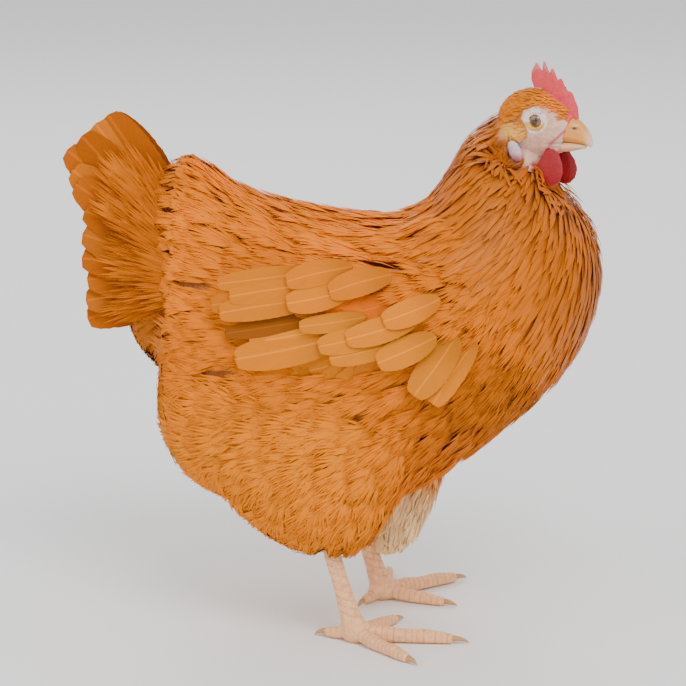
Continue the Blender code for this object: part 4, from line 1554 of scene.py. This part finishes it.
@dataclass
class Quills:
    """Large feathers placed one by one, as the flight and tail feathers are."""

    name: str
    quills: tuple[Quill, ...]
    lean: float  # how far up the blades' flat side looks, as a share of sideways
    deep: float  # how far a blade's tip rises over its root
    kind: Vane
    finish: FeatherFinish

    def root_mesh(self) -> bpy.types.Mesh:
        """The roots as points with everything the tree reads."""
        places, lies, sizes, facings, tints = [], [], [], [], []
        for quill in self.quills:
            for sign in SIDES.values():
                root = np.array((quill.root[0], sign * quill.root_out, quill.root[1])) + SHIFT
                tip = np.array((quill.tip[0], sign * quill.tip_out, quill.tip[1])) + SHIFT
                ahead = tip - root
                long = float(np.linalg.norm(ahead))
                ahead = ahead / long
                out = np.array((0.0, sign, self.lean))
                out = unit(out - ahead * out.dot(ahead))
                places.append(root)
                lies.append(ahead)
                facings.append(out)
                sizes.append((quill.width, long, self.deep))
                tints.append(linear(quill.tint))
        mesh = bpy.data.meshes.new(self.name)
        mesh.from_pydata([tuple(place) for place in places], [], [])
        store(mesh, "lie", "FLOAT_VECTOR", np.array(lies))
        store(mesh, "facing", "FLOAT_VECTOR", np.array(facings))
        store(mesh, "size", "FLOAT_VECTOR", np.array(sizes))
        store(mesh, "tint", "FLOAT_COLOR", np.array(tints))
        spread = np.arange(len(places))
        across, up = 0.02 + 0.03 * (spread % 30), 0.97 + 0.01 * (spread // 30)
        store(mesh, "root_uv", "FLOAT_VECTOR", np.column_stack((across, up, 0 * spread)))
        return mesh

    def build(self, tree: PlumageTree) -> bpy.types.Object:
        """Places the feathers."""
        coat = Coat(
            self.name,
            self.kind,
            self.finish,
            1.0,
            *(as_laid,) * 4,
            (0.01, 0.02, 0.02),
            3,
        )
        return coat.grow(tree, self.root_mesh())


# The wing's large feathers, those nearest the body first.
WING_QUILLS = (
    Quill((0.0053, 0.2392), (-0.0683, 0.2238), 0.0130, 0.0930, 0.0880, "8a4a12"),
    Quill((0.0174, 0.2348), (-0.0521, 0.2175), 0.0190, 0.0940, 0.0895, "d07712"),
    Quill((0.0201, 0.2281), (-0.0610, 0.2062), 0.0245, 0.0950, 0.0905, "cd7310"),
    Quill((0.0000, 0.2702), (-0.0735, 0.2572), 0.0150, 0.0930, 0.0880, "d1740f"),
    Quill((-0.0114, 0.2523), (-0.0770, 0.2434), 0.0180, 0.0940, 0.0885, "c56c0f"),
    Quill((0.0054, 0.2622), (-0.0640, 0.2490), 0.0180, 0.0945, 0.0900, "d27510"),
    Quill((-0.0027, 0.2512), (-0.0723, 0.2374), 0.0195, 0.0955, 0.0915, "d07410"),
    Quill((0.0294, 0.2399), (-0.0168, 0.2309), 0.0135, 0.0960, 0.0955, "c77311"),
    Quill((0.0468, 0.2323), (-0.0033, 0.2197), 0.0177, 0.0965, 0.0965, "ca7512"),
    Quill((0.0495, 0.2222), (0.0041, 0.2117), 0.0163, 0.0965, 0.0970, "c97311"),
    Quill((0.0201, 0.2734), (-0.0248, 0.2626), 0.0175, 0.0940, 0.0940, "d2730f"),
    Quill((0.0201, 0.2586), (-0.0242, 0.2477), 0.0190, 0.0965, 0.0955, "d1740f"),
    Quill((0.0467, 0.2694), (0.0041, 0.2566), 0.0190, 0.0965, 0.0965, "d3730f"),
    Quill((0.0654, 0.2410), (0.0148, 0.2250), 0.0185, 0.0975, 0.0985, "cc7411"),
    Quill((0.0786, 0.2535), (0.0403, 0.2380), 0.0185, 0.0960, 0.0985, "cf7310"),
    Quill((0.0762, 0.2278), (0.0370, 0.2087), 0.0204, 0.0960, 0.0985, "c77311"),
    Quill((0.0895, 0.2282), (0.0613, 0.1855), 0.0231, 0.0900, 0.0960, "c97412"),
    Quill((0.1014, 0.2238), (0.0734, 0.1804), 0.0180, 0.0860, 0.0935, "ca7310"),
)

TAIL_TIPS = (
    (-0.165, 0.358, 0.004),
    (-0.174, 0.352, 0.006),
    (-0.181, 0.345, 0.010),
    (-0.192, 0.335, 0.013),
    (-0.187, 0.322, 0.018),
    (-0.185, 0.311, 0.022),
    (-0.180, 0.294, 0.026),
    (-0.179, 0.278, 0.028),
    (-0.179, 0.262, 0.029),
    (-0.177, 0.246, 0.029),
    (-0.178, 0.231, 0.027),
    (-0.178, 0.217, 0.023),
)
TAIL_TINTS = ("ab5507", "b6600d", "a75206")


def tail_quills() -> tuple[Quill, ...]:
    """The tail's main feathers from their tips, with roots where their lines meet the rump."""
    found = []
    for number, (x, z, out) in enumerate(TAIL_TIPS):
        tip = np.array((x, z))
        fan = TAIL_FAN[[0, 2]]
        ahead = unit(tip - fan)
        root = tip - ahead * 0.082
        found.append(Quill(tuple(root), (x, z), 0.029, 0.4 * out + 0.004, out, TAIL_TINTS[number % 3]))
    return tuple(found)


def tail_covert_quills() -> tuple[Quill, ...]:
    """Shorter, softer feathers that lie over the roots of the tail's main ones."""
    found = []
    fan = TAIL_FAN[[0, 2]]
    for row, (reach, width) in enumerate(((0.86, 0.030), (0.74, 0.030), (0.62, 0.028))):
        for number, (x, z, out) in enumerate(TAIL_TIPS):
            tip = fan + (np.array((x, z)) - fan) * (reach + 0.03 * ((number * 7 + row * 3) % 3 - 1))
            root = tip - unit(tip - fan) * 0.058
            aside = 0.008 + 0.008 * row
            tint = ("bc6206", "b45c06", "c46a08")[(number + row) % 3]
            found.append(Quill(tuple(root), tuple(tip), width, 0.7 * out + aside, out + aside, tint))
    return tuple(found)


# ---------------------------------------------------------------- bill, eyes and claws


@dataclass
class Bill:
    """The two halves of the bill, evened from their solids, with nostrils."""

    voxel: float = 0.0004
    nostril: tuple = (0.0258, 0.0050, -0.0042)
    nostril_reach: tuple = (0.0019, 0.0030, 0.0008)

    def build(self) -> None:
        """Builds both halves."""
        for node in ("beak_upper", "beak_lower"):
            half = smoothed(fused(f"{node}_horn", [node_copy(node)], self.voxel), 0.5, 4)
            points = points_of(half.data)
            local = to_frame(points, HEAD)
            side = local.copy()
            side[:, 1] = np.abs(side[:, 1])
            pit = bump_near(side, self.nostril, self.nostril_reach)
            above = np.array(self.nostril) + (0.0002, 0.0, 0.0016)
            flap = bump_near(side, tuple(above), (0.0024, 0.0030, 0.0010))
            upper = node == "beak_upper"
            out = 0.00025 + (0.0005 * flap - 0.0011 * pit) * upper
            lift = np.array((0.0, 0.0, 0.0 if upper else 0.0004))
            move_points(half.data, points + normals_of(half.data) * out[:, None] + lift)
            colour = np.tile(linear("d9923c" if upper else "dcae80"), (len(points), 1))
            colour = blend_colours(colour, linear("e6b79a"), step(0.031, 0.037, local[:, 0]))
            colour = blend_colours(colour, linear("e2c39a"), np.clip(flap, 0, 1) * 0.7)
            # Painted shade: the nostril's hollow is darkened to a deep brown.
            colour = blend_colours(colour, linear("5a3418"), np.clip(pit * 1.3, 0, 1) * upper)
            store(half.data, "tint", "FLOAT_COLOR", colour)
            half.data.materials.append(HornFinish("bill horn").make())
            half.data.shade_smooth()
            finished(half, "horn", node)


@dataclass
class Eye:
    """An eyeball with pupil, iris and dark rim, looking out and a little ahead."""

    radius: float = 0.0062
    pupil: float = math.radians(19)
    iris: float = math.radians(43)
    ahead: float = 0.10

    def build(self, side: str) -> None:
        """Builds the eye of one side."""
        middle = box_middle(f"eye_{side}")
        out = np.array(HEAD.col[1][:3]) * SIDES[side] + np.array(HEAD.col[0][:3]) * self.ahead
        out = unit(out)
        turn = Vector(out).to_track_quat("Z", "Y").to_matrix().to_4x4()
        bm = bmesh.new()
        bmesh.ops.create_uvsphere(bm, u_segments=64, v_segments=48, radius=self.radius)
        bm.transform(Matrix.Translation(Vector(middle)) @ turn)
        mesh = bpy.data.meshes.new(f"eyeball_{side}")
        bm.to_mesh(mesh)
        bm.free()
        points = points_of(mesh)
        spoke = unit(points - middle)
        off = np.arccos(np.clip(spoke @ out, -1, 1))
        colour = np.tile(linear("1c0f08"), (len(points), 1))
        ring = step(self.iris, self.iris - 0.06, off)
        colour = blend_colours(colour, linear("6e4a1a"), ring)
        colour = blend_colours(colour, linear("94682c"), ring * step(0.45, 0.60, off) * step(0.72, 0.62, off))
        colour = blend_colours(colour, linear("040303"), step(self.pupil + 0.03, self.pupil - 0.03, off))
        store(mesh, "tint", "FLOAT_COLOR", colour)
        mesh.materials.append(EyeFinish(f"eye {side}").make())
        mesh.shade_smooth()
        finished(new_object(f"eyeball_{side}", mesh), "eye", f"eye_{side}")


@dataclass
class Claws:
    """The claws, evened from their solids."""

    toes: tuple = ("hind", "inner", "middle", "outer")
    voxel: float = 0.0005

    def build(self) -> None:
        """Builds every claw."""
        finish = HornFinish("claw horn", 0.4).make()
        for side in SIDES:
            for toe in self.toes:
                node = f"claw_{toe}_{side}"
                claw = smoothed(fused(f"{node}_horn", [node_copy(node)], self.voxel), 0.5, 2)
                points = points_of(claw.data)
                colour = np.tile(linear("b98a58"), (len(points), 1))
                store(claw.data, "tint", "FLOAT_COLOR", colour)
                claw.data.materials.append(finish)
                claw.data.shade_smooth()
                finished(claw, "horn", node)


# ---------------------------------------------------------------- stage


@dataclass
class Studio:
    """Floor, soft light and camera."""

    azimuth: float = math.radians(8.0)
    distance: float = 2.0
    height: float = 0.645
    aim: tuple = (0.0, 0.0, 0.200)
    metres_per_pixel: float = 0.0007
    image: int = 686
    sensor: float = 36.0

    def build_floor(self) -> None:
        """A wide pale floor."""
        bm = bmesh.new()
        bmesh.ops.create_grid(bm, x_segments=1, y_segments=1, size=20.0)
        mesh = bpy.data.meshes.new("floor")
        bm.to_mesh(mesh)
        bm.free()
        mesh.materials.append(FloorFinish("pale floor").make())
        floor = new_object("floor", mesh)

    def build_light(self) -> None:
        """A large soft key light, a fill and a bright surrounding."""
        world = bpy.data.worlds.new("studio")
        world.use_nodes = True
        world.node_tree.nodes["Background"].inputs[0].default_value = (1.0, 1.0, 1.0, 1.0)
        world.node_tree.nodes["Background"].inputs[1].default_value = 1.0
        bpy.context.scene.world = world
        for name, place, size, power in (
            ("key", (0.9, -1.9, 2.3), 1.4, 62.0),
            ("fill", (-2.0, -1.6, 1.4), 1.8, 20.0),
            ("rim", (-0.6, 2.2, 2.2), 1.6, 30.0),
        ):
            lamp = bpy.data.lights.new(name, "AREA")
            lamp.size = size
            lamp.energy = power
            made = bpy.data.objects.new(name, lamp)
            bpy.context.scene.collection.objects.link(made)
            made.location = place
            made.rotation_euler = (Vector((0, 0, 0.2)) - Vector(place)).to_track_quat("-Z", "Y").to_euler()

    def build_camera(self) -> None:
        """The camera, a long lens from the hen's right and a little ahead."""
        across = Vector((math.sin(self.azimuth), -math.cos(self.azimuth), 0.0)) * self.distance
        shift = Vector((SHIFT[0], SHIFT[1], 0.0))
        place = across + shift + Vector((0, 0, self.height))
        aim = Vector(self.aim) + shift
        lens = bpy.data.cameras.new("camera")
        lens.sensor_width = self.sensor
        lens.lens = self.sensor * (aim - place).length / self.metres_per_pixel / self.image
        camera = bpy.data.objects.new("camera", lens)
        bpy.context.scene.collection.objects.link(camera)
        camera.location = place
        camera.rotation_euler = (aim - place).to_track_quat("-Z", "Y").to_euler()
        bpy.context.scene.camera = camera

    def build(self) -> None:
        """Builds the whole stage."""
        self.build_floor()
        self.build_light()
        self.build_camera()


# ---------------------------------------------------------------- the whole


def main() -> None:
    """Builds the hen and its stage in order."""
    logging.basicConfig(level=logging.INFO, format="%(name)s %(message)s")
    Studio().build()
    skin = Skin()
    skin.build()
    Plumage(skin).build()
    tree = PlumageTree(Source.POINTS)
    Quills(
        "flight_feathers",
        WING_QUILLS,
        0.16,
        0.0030,
        Vane(rows=24, swell=1.05, point=0.32, notch=0.02, droop=0.30, thick=0.12),
        FeatherFinish("flight feather", Grain.BARBS, 0.48, 0.10, 0.30, 0.1),
    ).build(tree)
    Quills(
        "tail_feathers",
        tail_quills(),
        0.35,
        0.0040,
        Vane(rows=24, swell=1.0, point=0.36, notch=0.03, droop=0.25, thick=0.1),
        FeatherFinish("tail feather", Grain.BARBS, 0.5, 0.14, 0.30, 0.1),
    ).build(tree)
    Quills(
        "tail_coverts",
        tail_covert_quills(),
        0.35,
        0.0060,
        Tuft(strands=15, spread=0.75, thick=0.05, width=0.055),
        FeatherFinish("tail covert", Grain.LENGTH, 0.6, 0.16, 0.06, 0.12, fineness=0.6),
    ).build(tree)
    drop(skin.body, skin.head)
    Bill().build()
    for side in SIDES:
        Eye().build(side)
    Claws().build()


if __name__ == "__main__":
    main()
